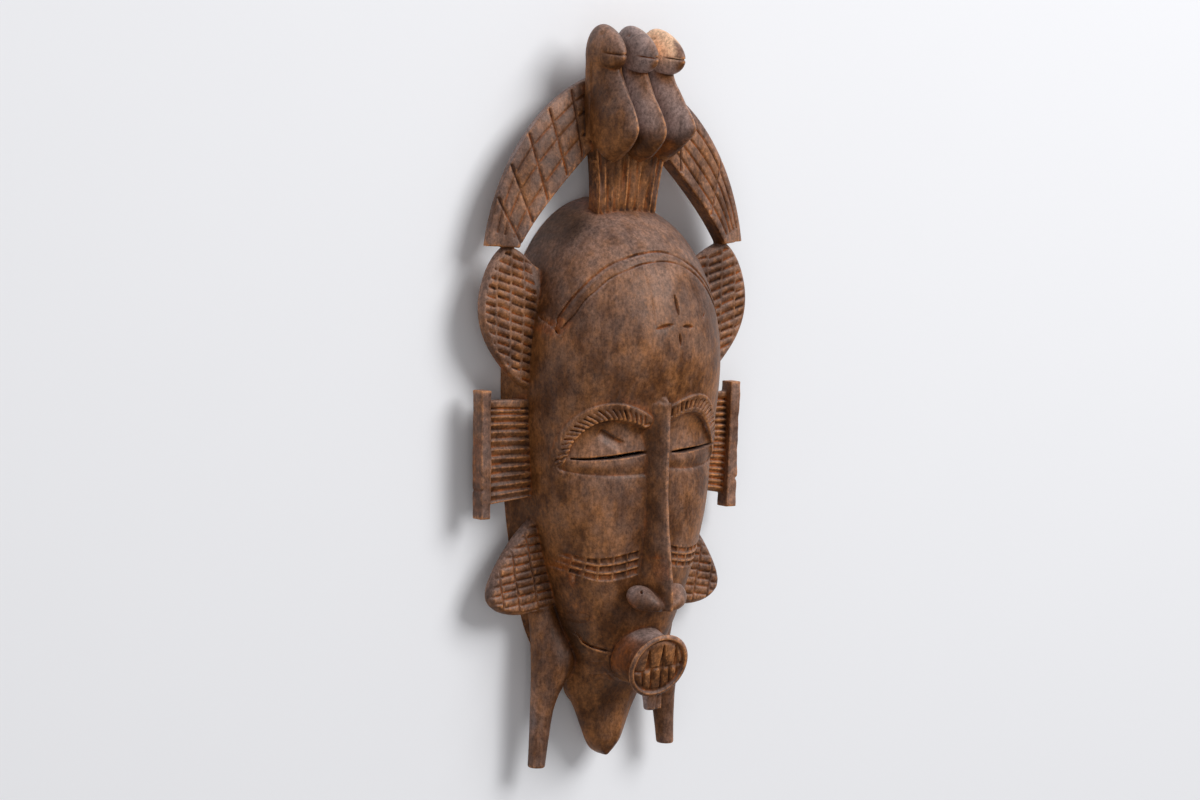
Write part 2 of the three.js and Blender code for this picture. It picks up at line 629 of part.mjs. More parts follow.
function headOfBird(x, { top, beak, up }) {
  const { middle, behind } = HEAD_LENGTH;
  const sizes = [
    ...[0.97, 0.7].map((share) => {
      const full = (1 - share ** 2.2) ** 0.5;
      return [middle - share * behind, full * (top - up), full * CHEEK_TALL, full * HEAD_HALF];
    }),
    ...[0, 0.3, 0.55, 0.75, 0.9, 0.985].map((share) => {
      const upper = (top - up) * (1 - share ** 1.5) ** 0.65;
      const lower = CHEEK_TALL * (1 - share ** 3.4) ** 0.7;
      return [mix(middle, beak, share), upper, lower, HEAD_HALF * (1 - share ** 1.9) ** 0.75];
    })];
  const head = loft(sizes.map(([z, upper, lower, wide]) => turns(8).map((angle) => {
    const rise = Math.sin(angle);
    return at(x + wide * Math.cos(angle), up + rise * (rise > 0 ? upper : lower), z);
  })));
  const mouth = [-1, 1].map((side) => {
    const line = [[8.6, 14.5, 2], [5.2, 6, 1], [0.5, -0.2, 0.3]].map(([wide, inward, rise]) => (
      at(x + side * wide, up + rise, beak - inward)
    ));
    return groove(line, () => at(side * 0.75, 0, 0.66), 1.5, 1.2);
  });
  return cutAll(head, mouth);
}

// Assembly

function makeMask() {
  const joined = joinAll([
    makeHead(), makeChin(), makeLeg(-1, FEET.left), makeLeg(1, FEET.right),
    ...[-1, 1].flatMap((side) => [hairLoop(side), earPanel(side), lowerTab(side), makeWing(side)]),
    makePedestal(), ...[-1, 0, 1].map(makeBird),
  ]);
  const cut = cutAll(joined, [
    lidHollow(-1), lidHollow(1), lidFold(-1), lidFold(1),
    ...cheekBand(-1), ...cheekBand(1), ...hairBand(), ...foreheadCross(), ...smileLines(),
  ]);
  const raised = joinAll([
    cut, makeNose(), makeNoseEnd(), makeNostril(-1), makeNostril(1), makeBrow(-1), makeBrow(1),
    makeMouth(),
  ]);
  return cutAll(raised, [makeHollow(), eyeSlit(-1), eyeSlit(1)]);
}

function geometryOf(solid) {
  const mesh = solid.getMesh();
  const points = [];
  for (let i = 0; i < mesh.vertProperties.length; i += mesh.numProp) {
    points.push(new THREE.Vector3().fromArray(mesh.vertProperties, i));
  }
  const geometry = new THREE.BufferGeometry().setFromPoints(points);
  geometry.setIndex(Array.from(mesh.triVerts));
  geometry.computeVertexNormals();
  geometry.computeBoundingBox();
  return geometry;
}

const wood = new THREE.MeshStandardMaterial({ color: 0x6f4a36, roughness: 0.72, metalness: 0 });
const carving = new THREE.Mesh(geometryOf(makeMask()), wood);
carving.name = "mask";
// The origin is the middle of the back, on the surface that the mask lies on
const { min, max } = carving.geometry.boundingBox;
carving.position.set(-(min.x + max.x) / 2, -(min.y + max.y) / 2, -min.z);

const group = new THREE.Group();
group.add(carving);

export default group;
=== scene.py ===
"""A carved wooden face mask with a crest of three birds, dressed and lit for the camera.

The shapes are worked out in millimetres in the carver's own frame: x runs to the right of
someone who faces the mask, y up the mask from the brow line, and z out of the face from
the flat back rim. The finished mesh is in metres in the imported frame.
"""

from __future__ import annotations

import logging
import math
from collections.abc import Callable, Mapping, Sequence
from dataclasses import dataclass, field
from enum import Enum
from typing import Any

import bpy
import numpy as np
import openvdb
from mathutils import Matrix, Vector


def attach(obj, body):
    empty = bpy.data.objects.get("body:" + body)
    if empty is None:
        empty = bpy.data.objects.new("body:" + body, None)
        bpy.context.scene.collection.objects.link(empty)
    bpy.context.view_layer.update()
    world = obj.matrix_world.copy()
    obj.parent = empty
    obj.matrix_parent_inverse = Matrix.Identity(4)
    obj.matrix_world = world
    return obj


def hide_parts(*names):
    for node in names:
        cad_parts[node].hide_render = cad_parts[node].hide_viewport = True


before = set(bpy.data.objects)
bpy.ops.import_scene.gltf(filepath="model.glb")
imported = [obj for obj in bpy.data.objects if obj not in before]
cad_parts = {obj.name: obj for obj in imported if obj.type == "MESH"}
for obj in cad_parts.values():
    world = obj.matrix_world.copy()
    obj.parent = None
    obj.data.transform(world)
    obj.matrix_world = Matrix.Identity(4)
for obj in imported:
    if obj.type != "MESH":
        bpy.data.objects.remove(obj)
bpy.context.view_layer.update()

log = logging.getLogger("mask")

Array = np.ndarray
Point = tuple[float, float]
Place = tuple[float, float, float]
Line = Sequence[Point]

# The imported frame's origin lies under the middle of the back, above the brow line's own
MIDDLE_UP = 4.85
# Distances are kept only this near to the surface
FAR = 6.0
MOST_TRIANGLES = 190_000
# The first two are measured on the carving; the finish also uses them to paint shade into hollows
# and sheltered places. The others are laid on by place: worn patches, partly a painted highlight;
# grey patina under a painted sheen; rust; painted shade with black cracks
TONES = ("hollow", "shelter", "bare_and_highlight", "bloom_and_sheen", "rust", "shade_and_cracks")


class Side(Enum):
    """A side of the mask as its viewer sees it."""

    LEFT = -1
    RIGHT = 1


def put(name: str, data: bpy.types.ID) -> bpy.types.Object:
    """Puts an object with the given data into the scene."""
    thing = bpy.data.objects.new(name, data)
    bpy.context.scene.collection.objects.link(thing)
    return thing


# Curves and blends


def through(pairs: Line, at: Array | float) -> Array:
    """A smooth value along pairs of place and size, held level past both ends.

    Args:
        pairs: Places in rising order, each with the size there.
        at: The places that are asked for.

    Returns:
        The sizes at those places.
    """
    places, sizes = np.array(pairs, float).T
    last = len(places) - 1
    order = np.arange(last + 1)
    before, after = np.maximum(order - 1, 0), np.minimum(order + 1, last)
    slopes = (sizes[after] - sizes[before]) / (places[after] - places[before])
    i = np.clip(np.searchsorted(places, at, side="right") - 1, 0, last - 1)
    gap = places[i + 1] - places[i]
    t = np.clip((at - places[i]) / gap, 0, 1)
    bend = (t - 1) ** 2 * t * slopes[i] + (t - 1) * t * t * slopes[i + 1]
    return sizes[i] + (sizes[i + 1] - sizes[i]) * t * t * (3 - 2 * t) + gap * bend


def ramp(value: Array | float, low: float, high: float) -> Array:
    """Eases from 0 at low to 1 at high, also where high is the smaller."""
    t = np.clip((value - low) / (high - low), 0, 1)
    return t * t * (3 - 2 * t)


def mix(a: Any, b: Any, t: Any) -> Any:
    """The value a share t of the way from a to b."""
    return a + (b - a) * t


def soft_min(a: Array, b: Array, blend: Array | float) -> Array:
    """The smaller of two distances, with the crease between them filled."""
    blend = np.maximum(blend, 1e-3)
    near = np.maximum(blend - np.abs(a - b), 0) / blend
    return np.minimum(a, b) - near * near * (blend / 4)


def soft_max(a: Array, b: Array, blend: Array | float) -> Array:
    """The larger of two distances, with the edge between them eased."""
    return -soft_min(-a, -b, blend)


def turned(a: Array, b: Array, angle: float) -> tuple[Array, Array]:
    """Distances along two axes that are turned by an angle."""
    c, s = math.cos(angle), math.sin(angle)
    return a * c - b * s, a * s + b * c


def bezier(points: Sequence[Point], t: Array) -> Array:
    """Points at shares t along a cubic curve."""
    a, b, c, d = (np.array(p, float) for p in points)
    t = np.asarray(t, float)[..., None]
    return (1 - t) ** 3 * a + 3 * (1 - t) ** 2 * t * b + 3 * (1 - t) * t * t * c + t**3 * d


def spline(points: Sequence[Point], per: int = 8) -> Array:
    """A smooth run of points through the given ones, in per steps for each."""
    p = np.array(points, float)
    run = []
    for i in range(len(p) - 1):
        a, b, c, d = p[max(i - 1, 0)], p[i], p[i + 1], p[min(i + 2, len(p) - 1)]
        for t in np.arange(per) / per:
            out = 2 * b + (c - a) * t + (2 * a - 5 * b + 4 * c - d) * t * t
            run.append(0.5 * (out + (3 * b - a - 3 * c + d) * t**3))
    run.append(p[-1])
    return np.array(run)


def outline_gap(points: Array, x: Array, y: Array) -> Array:
    """The distance to a closed outline, below nought inside it.

    Args:
        points: The outline's corners.
        x: Places across, a column.
        y: Places up, a row.

    Returns:
        A sheet of distances.
    """
    inside = np.zeros(np.broadcast(x, y).shape, bool)
    nearest = np.full(inside.shape, 1e9)
    for (ax, ay), (bx, by) in zip(points, np.roll(points, -1, axis=0)):
        ex, ey = bx - ax, by - ay
        t = np.clip(((x - ax) * ex + (y - ay) * ey) / (ex * ex + ey * ey), 0, 1)
        nearest = np.minimum(nearest, (x - ax - t * ex) ** 2 + (y - ay - t * ey) ** 2)
        if ay != by:
            inside ^= ((ay > y) != (by > y)) & (x < ax + (y - ay) / (by - ay) * ex)
    return np.where(inside, -1, 1) * np.sqrt(nearest)


@dataclass(frozen=True)
class Trail:
    """Where each point of a skin lies beside a line that was drawn on it."""

    away: Array
    along: Array
    left: Array

    @property
    def side(self) -> Array:
        """The distance with a sign, above nought to the left of the line's run."""
        return self.away * self.left

    @property
    def length(self) -> float:
        """How long the line is."""
        return max(float(self.along.max()), 1e-6)

    @property
    def share(self) -> Array:
        """The share of the way along the line."""
        return self.along / self.length


@dataclass(frozen=True)
class Skin:
    """A sheet of points on a surface that faces out: places across and up, and depths."""

    x: Array
    y: Array
    z: Array

    def trail(self, points: Sequence[Point] | Array) -> Trail:
        """Follows a line that is laid on the skin.

        Args:
            points: The line's points, across and up.

        Returns:
            The true distance from the line, the length along it and the side of it.
        """
        line = [(a, b, self._depth(a, b)) for a, b in points]
        away = np.full(self.z.shape, 1e9)
        along, left = np.zeros(self.z.shape), np.ones(self.z.shape)
        run = 0.0
        for a, b in zip(line, line[1:]):
            e = np.subtract(b, a)
            length = float(np.linalg.norm(e))
            p = (self.x - a[0], self.y - a[1], self.z - a[2])
            t = np.clip((p[0] * e[0] + p[1] * e[1] + p[2] * e[2]) / length**2, 0, 1)
            gap = sum((q - t * s) ** 2 for q, s in zip(p, e))
            nearer = gap < away
            away = np.where(nearer, gap, away)
            along = np.where(nearer, run + t * length, along)
            left = np.where(nearer, np.sign(e[0] * p[1] - e[1] * p[0] + 1e-9), left)
            run += length
        return Trail(np.sqrt(away), along, left)

    def _depth(self, x: float, y: float) -> float:
        """The skin's depth at a place."""
        i = int(np.clip(np.searchsorted(self.x[:, 0], x), 0, self.z.shape[0] - 1))
        j = int(np.clip(np.searchsorted(self.y[0], y), 0, self.z.shape[1] - 1))
        return float(self.z[i, j])


def tent(away: Array, half: Array | float) -> Array:
    """Falls straight from 1 at nought to 0 at half."""
    return np.clip(1 - away / half, 0, 1)


def bell(away: Array, wide: Array | float) -> Array:
    """A rounded peak of 1 at nought."""
    return np.exp(-((away / wide) ** 2))


def between(value: Array, rise: Point, fall: Point) -> Array:
    """1 between two eased edges, each given by where it is 0 and where it is 1."""
    return ramp(value, *rise) * ramp(value, *fall)


def cut_line(trail: Trail, width: float, depth: float) -> Array:
    """The depth of a V-shaped cut along a line."""
    return depth * tent(trail.away, width / 2)


def soft_line(trail: Trail, width: Array | float, depth: float) -> Array:
    """The depth of a rounded furrow along a line."""
    return depth * bell(trail.away, width / 2)


def chance(number: Array | float, salt: float = 0.0) -> Array:
    """A settled number from 0 to 1 for each whole number."""
    return np.mod(np.sin(np.floor(number) * 12.9898 + salt * 78.233) * 43758.5453, 1.0)


# The block of wood


@dataclass(frozen=True)
class Window:
    """A box-shaped part of the block, with the places of its points."""

    part: tuple[slice, slice, slice]
    x: Array
    y: Array
    z: Array

    @property
    def sheet(self) -> tuple[Array, Array]:
        """The places across, as a column, and up, as a row."""
        return self.x[:, :, 0], self.y[:, :, 0]


@dataclass
class Block:
    """The block that the mask is carved from: distances to its surface on a grid."""

    pitch: float = 0.5
    low: Place = (-98.5, -219.5, -2.0)
    high: Place = (98.5, 229.5, 90.5)
    gap: Array = field(init=False)

    def __post_init__(self) -> None:
        """Starts with nothing but air."""
        shape = [math.ceil((b - a) / self.pitch) + 1 for a, b in zip(self.low, self.high)]
        self.gap = np.full(shape, FAR, np.float32)

    def window(self, low: Place, high: Place) -> Window:
        """The part of the block between two corners."""
        spans = []
        for a, b, start, count in zip(low, high, self.low, self.gap.shape):
            first = max(math.floor((a - start) / self.pitch), 0)
            last = min(math.ceil((b - start) / self.pitch) + 1, count)
            spans.append((slice(first, last), start + self.pitch * np.arange(first, last)))
        (i, x), (j, y), (k, z) = spans
        x, y, z = (axis.astype(np.float32) for axis in (x, y, z))
        return Window((i, j, k), x[:, None, None], y[None, :, None], z[None, None, :])

    def beside(self, side: Side, low: Place, high: Place) -> tuple[Window, Array, Array]:
        """A part of the block at one side of the mask.

        Args:
            side: Which side it is at.
            low: The low corner of the same part at the right.
            high: The high corner of the same part at the right.

        Returns:
            The part, the places outward from the middle, and the places up.
        """
        if side is Side.LEFT:
            low, high = (-high[0], *low[1:]), (-low[0], *high[1:])
        window = self.window(low, high)
        x, y = window.sheet
        return window, side.value * x, y

    def even(self, form: Array) -> Array:
        """Turns a value that is nought on a surface into the distance near it."""
        form = form.astype(np.float32)
        slopes = np.gradient(form, self.pitch)
        steep = np.sqrt(sum(s * s for s in slopes))
        return np.clip(form / np.maximum(steep, 1e-3), -FAR, FAR).astype(np.float32)

    def join(self, window: Window, form: Array, blend: Array | float = 0.6) -> None:
        """Adds a form to the wood, with a fillet."""
        part = self.gap[window.part]
        part[...] = soft_min(part, np.clip(form, -FAR, FAR), blend)

    def cut(self, window: Window, form: Array, blend: float = 0.6) -> None:
        """Takes a form out of the wood, with eased edges."""
        part = self.gap[window.part]
        part[...] = soft_max(part, -np.clip(form, -FAR, FAR), blend)

    def sample(self, values: Array, points: Array, step: int = 1) -> Array:
        """Reads a grid of values at points.

        Args:
            values: The grid, or every step-th point of it.
            points: Places in the carver's frame.
            step: How many of the block's points one of the grid's stands for.

        Returns:
            One value for each point, blended from the eight around it.
        """
        top = np.array(values.shape) - 1.001
        at = np.clip((points - self.low) / (self.pitch * step), 0, top)
        base = at.astype(int)
        share = at - base
        total = np.zeros(len(points))
        for corner in np.ndindex(2, 2, 2):
            weight = np.prod(np.where(corner, share, 1 - share), axis=1)
            i, j, k = (base + corner).T
            total += weight * values[i, j, k]
        return total

    def hollowness(self, reach: float, step: int) -> Array:
        """How much less air than usual lies within reach of each point.

        Args:
            reach: Half the side of the cube that is looked at.
            step: Only every step-th point of the grid is used.

        Returns:
            A grid that is above nought in a hollow and below nought on an edge.
        """
        values = np.clip(self.gap[::step, ::step, ::step], -reach, reach)
        count = max(round(reach / (self.pitch * step)), 1)
        for axis in range(3):
            edge = [(0, 0)] * 3
            edge[axis] = (count + 1, count)
            total = np.cumsum(np.pad(values, edge, mode="edge"), axis=axis, dtype=np.float32)
            length = values.shape[axis]
            ahead = np.take(total, range(2 * count + 1, 2 * count + 1 + length), axis=axis)
            behind = np.take(total, range(length), axis=axis)
            values = (ahead - behind) / (2 * count + 1)
        return -values / reach


# Head and face


@dataclass(frozen=True)
class Head:
    """The domed oval head, with the face on its front and the hollow behind."""

    crown: float = 122.5
    jaw: float = -175.0
    widest: float = 15.0
    rim_half: float = 66.0
    seam_half: float = 62.3
    seam_depth: float = 24.0
    forehead_top: float = 30.0
    forehead_depth: float = 83.5
    rim_below: Line = (
        (-176, 2), (-172, 5), (-166, 14), (-158, 28), (-149, 38.5), (-128, 48), (-85, 57.5),
        (-35, 64), (15, 66))
    seam_below: Line = (
        (-180, 15), (-170, 21.5), (-150, 27.5), (-134, 33.8), (-110, 42.3), (-85, 50.5),
        (-55, 57.3), (15, 62.3))
    front_below: Line = (
        (-180, 22), (-170, 31.5), (-150, 51), (-130, 61), (-105, 66.5), (-60, 70), (-22, 71),
        (0, 75.5), (30, 83.5))
    wall: float = 9.0
    hollow_foot: float = -159.5
    hollow_top: float = 113.3
    stroke_wide: float = 8.5
    stroke_long: float = 15.0
    stroke_lean: float = 0.12
    stroke_deep: float = 0.55

    @staticmethod
    def _round_off(share: Array, power: float) -> Array:
        """A quarter of a rounded square, from 1 down to 0 as share goes to 1."""
        return np.maximum(1 - np.maximum(share, 0) ** power, 0) ** (1 / power)

    def sizes(self, y: Array) -> tuple[Array, ...]:
        """The section at heights y, eased along the head.

        Args:
            y: The heights.

        Returns:
            Half widths at the rim and the seam, depths of the seam and the front, and how
            square the front is.
        """
        below_crown = np.clip((self.crown - y) / 26, 0, 1)
        steps = [self._sharp_sizes(y + below_crown * step) for step in (-9, -6, -3, 0, 3, 6, 9)]
        weights = np.array((1, 2, 3, 4, 3, 2, 1)) / 16
        return tuple(sum(w * size for w, size in zip(weights, kind)) for kind in zip(*steps))

    def _sharp_sizes(self, y: Array) -> tuple[Array, ...]:
        """The section at heights y, before it is eased."""
        dome = self._round_off((y - self.widest) / (self.crown - self.widest), 2.2)
        top = self._round_off((y - self.forehead_top) / (self.crown - self.forehead_top), 2.1)
        above = y > self.widest
        rim = np.where(above, self.rim_half * dome, through(self.rim_below, y))
        seam = np.where(above, self.seam_half * dome, through(self.seam_below, y))
        high = self.forehead_depth * top
        front = np.where(y > self.forehead_top, high, through(self.front_below, y))
        low = np.minimum(self.seam_depth, 0.45 * front)
        return rim, seam, low, front, mix(2.5, 2.2, ramp(y, -10, 40))

    def _distance(self, block: Block, x: Array, y: Array, z: Array) -> Array:
        """The distance to the head's surface, also far outside it."""
        rim, seam, low, front, power = self.sizes(y)
        half = mix(rim, seam, np.clip(z / np.maximum(low, 0.1), 0, 1))
        across = np.abs(x) / np.maximum(half, 0.4)
        out = np.maximum(z - low, 0) / np.maximum(front - low, 0.4)
        share = ((across**power + out**power) ** (1 / power) - 1).astype(np.float32)
        far = np.where(share > 0.25, FAR * (4 * share - 1), -FAR)
        return np.clip(np.maximum(block.even(share), far), -FAR, FAR).astype(np.float32)

    def depth(self, x: Array, y: Array) -> Array:
        """How far out the face is at places across and up."""
        _, seam, low, front, power = self.sizes(y)
        across = np.minimum(np.abs(x) / np.maximum(seam, 0.4), 1)
        return low + (front - low) * (1 - across**power) ** (1 / power)

    def build(self, block: Block, marks: Callable[[Skin], Array]) -> None:
        """Puts the head into the block.

        Args:
            block: The wood.
            marks: Gives how far each point of the face is raised.
        """
        w = block.window((-70, self.jaw - 6, -2), (70, self.crown + 4, 90))
        form = self._distance(block, w.x, w.y, w.z)
        x, y = w.sheet
        raised = marks(Skin(x, y, self.depth(x, y)))[:, :, None]
        form -= raised * ramp(w.z, 22, 30)
        form = np.maximum(form, w.y - self.crown + 0.15)
        form = soft_max(form, self.jaw - w.y, 6)
        block.join(w, soft_max(form, -w.z, 1.2))

    def hollow(self, block: Block) -> None:
        """Scoops out the back with short strokes of a gouge.

        Args:
            block: The wood.
        """
        across = 1 - self.wall / self.rim_half
        above = 1 - self.wall / (self.crown - self.widest)
        below = 1 - 1.3 * self.wall / (self.widest + 172)
        out = 1 - 1.15 * self.wall / (self.forehead_depth - self.seam_depth)
        w = block.window((-60, -164, -2), (60, 117, 82))
        shrink = np.where(w.y > self.widest, above, below)
        y = self.widest + (w.y - self.widest) / shrink
        low = self.sizes(y)[2]
        z = np.where(w.z > low, low + (w.z - low) / out, w.z)
        form = self._distance(block, w.x / across, y, z)
        row = (w.y + self.stroke_lean * w.x) / self.stroke_long
        lane = (w.x + 9 * chance(row, 1.0)) / self.stroke_wide
        stroke = np.abs(2 * np.mod(lane, 1) - 1) ** 2 + 0.6 * np.mod(row, 1)
        form = form + (self.stroke_deep * stroke).astype(np.float32)
        form = np.maximum(form, w.y - self.hollow_top)
        block.cut(w, np.maximum(form, self.hollow_foot - w.y), 2.4)


@dataclass(frozen=True)
class Brow:
    """A raised arched band over one eye, with slanting notches along its lower edge."""

    side: Side
    line: Line
    halves: Line
    slant: float
    span: Point = (-9.0, 1.9)
    notches: int = 23
    height: float = 1.5
    notch: float = 1.5

    def relief(self, skin: Skin) -> tuple[Array, Array]:
        """The band on the face.

        Args:
            skin: The face.

        Returns:
            How far each point is raised, and how far above the middle line it lies.
        """
        trail = skin.trail(spline(self.line, 5))
        over = -self.side.value * trail.side
        half = through(self.halves, trail.share)
        band = ramp(trail.away - half, 0.6, -0.6)
        height = self.height * ramp(trail.share, -0.05, 0.24)
        return band * (height - self.notch * self._slots(trail, over, half)), over

    def _slots(self, trail: Trail, over: Array, half: Array) -> Array:
        """How deep the notches are, from 0 to about 1."""
        lane = (trail.along + self.slant * over) / trail.length * self.notches
        off = np.abs(2 * np.mod(lane, 1) - 1) + 0.3 * (chance(lane, self.slant) - 0.5)
        slots = tent(off, 0.3 + 0.3 * chance(lane, 7.0)) * (0.55 + 0.7 * chance(lane, 2.0))
        low, high = self.span
        high = high + 1.2 * (chance(lane, 9.0) - 0.5)
        slots = slots * ramp(over - high, 0.6, -0.6) * ramp(over - low, -0.4, 0.6)
        return slots * ramp(over + half, -0.9, 0.2) * ramp(trail.share, -0.02, 0.12)


@dataclass(frozen=True)
class Eye:
    """A sunk lid under a brow, cut through by a slit, with a soft fold below."""

    side: Side
    brow: Brow
    slit: Line
    slit_half: Line
    fold: Line
    reach: float = 60.0
    sunk: float = 3.2
    puff: float = 0.8
    fold_deep: float = 1.1
    step: float = 0.4
    lip: float = 0.2

    def relief(self, skin: Skin) -> Array:
        """The low relief of the eye and its brow.

        Args:
            skin: The face.

        Returns:
            How far each point is raised.
        """
        raised, over = self.brow.relief(skin)
        x = self.side.value * skin.x
        above = skin.y - through(self._outward(self.slit), x)
        lid = mix(ramp(-over, 3.0, 9.0), ramp(-over, 4.6, 5.8), 0.35)
        lid = lid * ramp(x, 3, 9) * ramp(x, 62, 54)
        lid = lid * ramp(skin.y, 4, 1) * ramp(x, self.reach + 2, self.reach - 3)
        lid = lid * mix(0.36, 1.0, ramp(above, -1, 15)) * ramp(above, -16, -5)
        puff = self.puff * bell(above + 4.6, 3.2) * ramp(x, 6, 12) * ramp(x, 54, 46)
        crease = skin.trail(spline(self.fold))
        fold = soft_line(crease, mix(2.2, 5.5, ramp(crease.side, -0.6, 0.6)), self.fold_deep)
        step = self.step * ramp(crease.side, 0.6, -0.8) * ramp(crease.side, -12, -2)
        fold = fold + step * ramp(x, 60, 50)
        lips = self.lip * bell(np.abs(above) - 1.6, 0.7) * ramp(x, 8, 10) * ramp(x, 52, 48)
        return raised - self.sunk * lid + puff - fold + lips

    def open_slit(self, block: Block) -> None:
        """Cuts the slit right through the wood."""
        reach = sorted(x for x, _ in self.slit)
        w = block.window((reach[0] - 3, -34, 28), (reach[-1] + 3, -14, 88))
        x = self.side.value * w.x
        line = self._outward(self.slit)
        half = through(self.slit_half, x)
        ends = np.maximum(line[0][0] - x, x - line[-1][0])
        form = np.maximum(np.abs(w.y - through(line, x)) - half, ends)
        block.cut(w, form + 0 * w.z, 0.5)

    def _outward(self, points: Line) -> Line:
        """Points with their places measured outward from the nose, in rising order."""
        return sorted((self.side.value * x, y) for x, y in points)


@dataclass(frozen=True)
class CheekBand:
    """A band of small sunk cells between thin raised lines, across one cheek."""

    top: Line
    bottom: Line
    uprights: tuple[float, ...]
    rows: int = 3
    sunk: float = 1.15
    line: float = 0.25

    def relief(self, skin: Skin) -> Array:
        """The low relief of the band.

        Args:
            skin: The face.

        Returns:
            How far each point is raised.
        """
        first, last = self.uprights[0], self.uprights[-1]
        top, bottom = through(self.top, skin.x), through(self.bottom, skin.x)
        row = (top - skin.y) / (top - bottom) * self.rows
        from_line = np.abs(row - np.round(row)) * ((top - bottom) / self.rows)
        lean = 0.2 * (row - 1)
        from_upright = np.min([np.abs(skin.x - x - lean) for x in self.uprights], axis=0)
        cell = ramp(from_line, 0.35, 1.3) * ramp(from_upright, 0.25, 1.1)
        number = np.floor(row) * 7 + np.searchsorted(self.uprights, skin.x)
        deep = mix(1.2, 0.65, np.mod(row, 1)) * (0.75 + 0.5 * chance(number))
        ends = between(skin.x, (first - 0.4, first + 0.4), (last + 0.4, last - 0.4))
        inside = between(row, (-0.05, 0.05), (self.rows + 0.05, self.rows - 0.05)) * ends
        lines = self.line * bell(from_line, 0.5) * ramp(np.abs(row - 1.5), 1.8, 1.6) * ends
        worn = mix(0.25, 1.0, ramp(skin.x, first, first + 5))
        return (lines - self.sunk * cell * deep * inside) * worn


@dataclass(frozen=True)
class FaceMarks:
    """What is cut into the face beside its eyes and cheek bands."""

    band_top: Line = (
        (-56.9, 45.6), (-55.6, 54.2), (-51.2, 63.8), (-48.1, 68.6), (-42.1, 76.3), (-36.6, 81.3),
        (-30.7, 85.2), (-24.6, 88.1), (-16.3, 90.4), (-7.1, 92.2), (0.6, 92.9), (7.5, 92.2),
        (14.5, 90.2), (21.5, 86.8), (29.6, 81.6), (35.4, 76.5), (42.1, 69), (49, 58), (54, 48))
    band_foot: Line = (
        (-56.9, 45.3), (-54.1, 50.9), (-51.4, 55.7), (-48.4, 61.2), (-44.7, 66.6), (-39.5, 71.8),
        (-35.1, 76), (-30, 79.4), (-21.6, 83), (-13.5, 85.5), (-6.6, 86.8), (0.9, 87.3),
        (8.6, 86.9), (15.8, 85.1), (23.2, 81.7), (29.6, 77.1), (35.9, 71), (42, 63.5),
        (48.5, 54), (54, 46.5))
    hair_edge: Line = ((-58.9, 60), (-58.6, 56.4), (-58.6, 52.8), (-57.8, 48.8), (-56.9, 45.3))
    cross: tuple[tuple[Line, float], ...] = (
        (((4.9, 69), (5.9, 55.8)), 3.0), (((-11.2, 49), (1.6, 51.6)), 3.4),
        (((7.6, 50.2), (17, 49.6)), 3.0), (((5.4, 46.4), (6, 38.6)), 2.0),
        (((26.2, 54.2), (28.6, 57.4)), 1.4))
    cross_deep: float = 2.1
    smile_left: Line = (
        (-32.5, -134.6), (-29.6, -139.2), (-25.5, -142.1), (-21.3, -143.7), (-17.8, -144.6))
    smile_right: Line = ((30, -134), (24, -141), (16, -146))
    scoop: Line = ((-37.2, -9.2), (-33.2, -11.4), (-27.6, -15.1), (-20.4, -18.8))
    scoop_deep: float = 2.0
    vein: Line = (
        (-40.3, -47.5), (-38.9, -57), (-38.3, -66), (-39.9, -73.1), (-42.2, -69.5),
        (-44.4, -73.3), (-49.2, -76.5))
    split: Line = (
        (-13.6, 84.2), (-12.1, 77.4), (-11.7, 68.8), (-11.5, 63.1), (-11.3, 55.6), (-10.8, 50.5))
    knot: Point = (-34.4, -124.5)
    drip: Line = ((-44.4, -88), (-43.4, -93), (-42.3, -98), (-41.3, -102.5))
    nicks: Line = ((-20, -152.2), (-17.2, -160.5), (-15.6, -164))

    def relief(self, skin: Skin) -> Array:
        """The low relief of all the marks.

        Args:
            skin: The face.

        Returns:
            How far each point is raised, mostly below nought.
        """
        top, foot = skin.trail(spline(self.band_top, 3)), skin.trail(spline(self.band_foot, 3))
        worn = 0.75 + 0.25 * np.sin(0.23 * skin.x + 1.0) * np.sin(0.09 * skin.x)
        raised = -cut_line(top, 2.9, 1.5) * worn - cut_line(foot, 2.0, 1.3) * worn
        raised += 0.25 * bell(top.side + 2.4, 0.9)
        raised -= cut_line(skin.trail(self.hair_edge), 1.8, 0.9)
        raised -= cut_line(skin.trail([(x + 0.9, y - 2.4) for x, y in self.hair_edge]), 1.2, 0.5)
        for ends, width in self.cross:
            raised -= self._leaf(skin.trail(ends), width)
        smile = skin.trail(spline(self.smile_left, 4))
        raised -= mix(0.7, 1.9, ramp(smile.along, 0, 12)) * tent(smile.away, 1.3)
        raised += 0.5 * bell(smile.side + 1.9, 0.9) * ramp(smile.away, 3.5, 2.5)
        raised += soft_line(skin.trail(self.drip), 1.1, 0.4)
        raised -= soft_line(skin.trail(self.smile_right), 2.2, 1.0)
        raised -= self._scooped(skin.trail(self.scoop))
        raised -= soft_line(skin.trail(spline(self.vein, 4)), 0.9, 0.28)
        raised -= cut_line(skin.trail(spline(self.split, 3)), 0.9, 0.5)
        spot = np.hypot(skin.x - self.knot[0], skin.y - self.knot[1])
        raised += 0.5 * bell(spot, 2.2) - 0.5 * bell(spot - 3.2, 0.7)
        for x, y in self.nicks:
            raised -= soft_line(skin.trail(((x - 2.6, y), (x + 2.2, y + 0.6))), 1.1, 0.4)
        return raised

    def _scooped(self, trail: Trail) -> Array:
        """The depth of the flat scoop in the left lid, sharp along its upper edge."""
        along = between(trail.along, (0, 3), (trail.length, 15))
        return self.scoop_deep * along * ramp(-trail.side, -0.6, 1.0) * ramp(-trail.side, 8.0, 1.6)

    def _leaf(self, trail: Trail, width: float) -> Array:
        """The depth of one leaf-shaped cut of the cross."""
        half = width / 2 * np.sin(math.pi * np.clip(trail.share, 0.02, 0.98)) ** 0.7
        rounded = np.sin(math.pi * trail.share) ** 0.5
        return self.cross_deep * rounded * tent(trail.away, half)


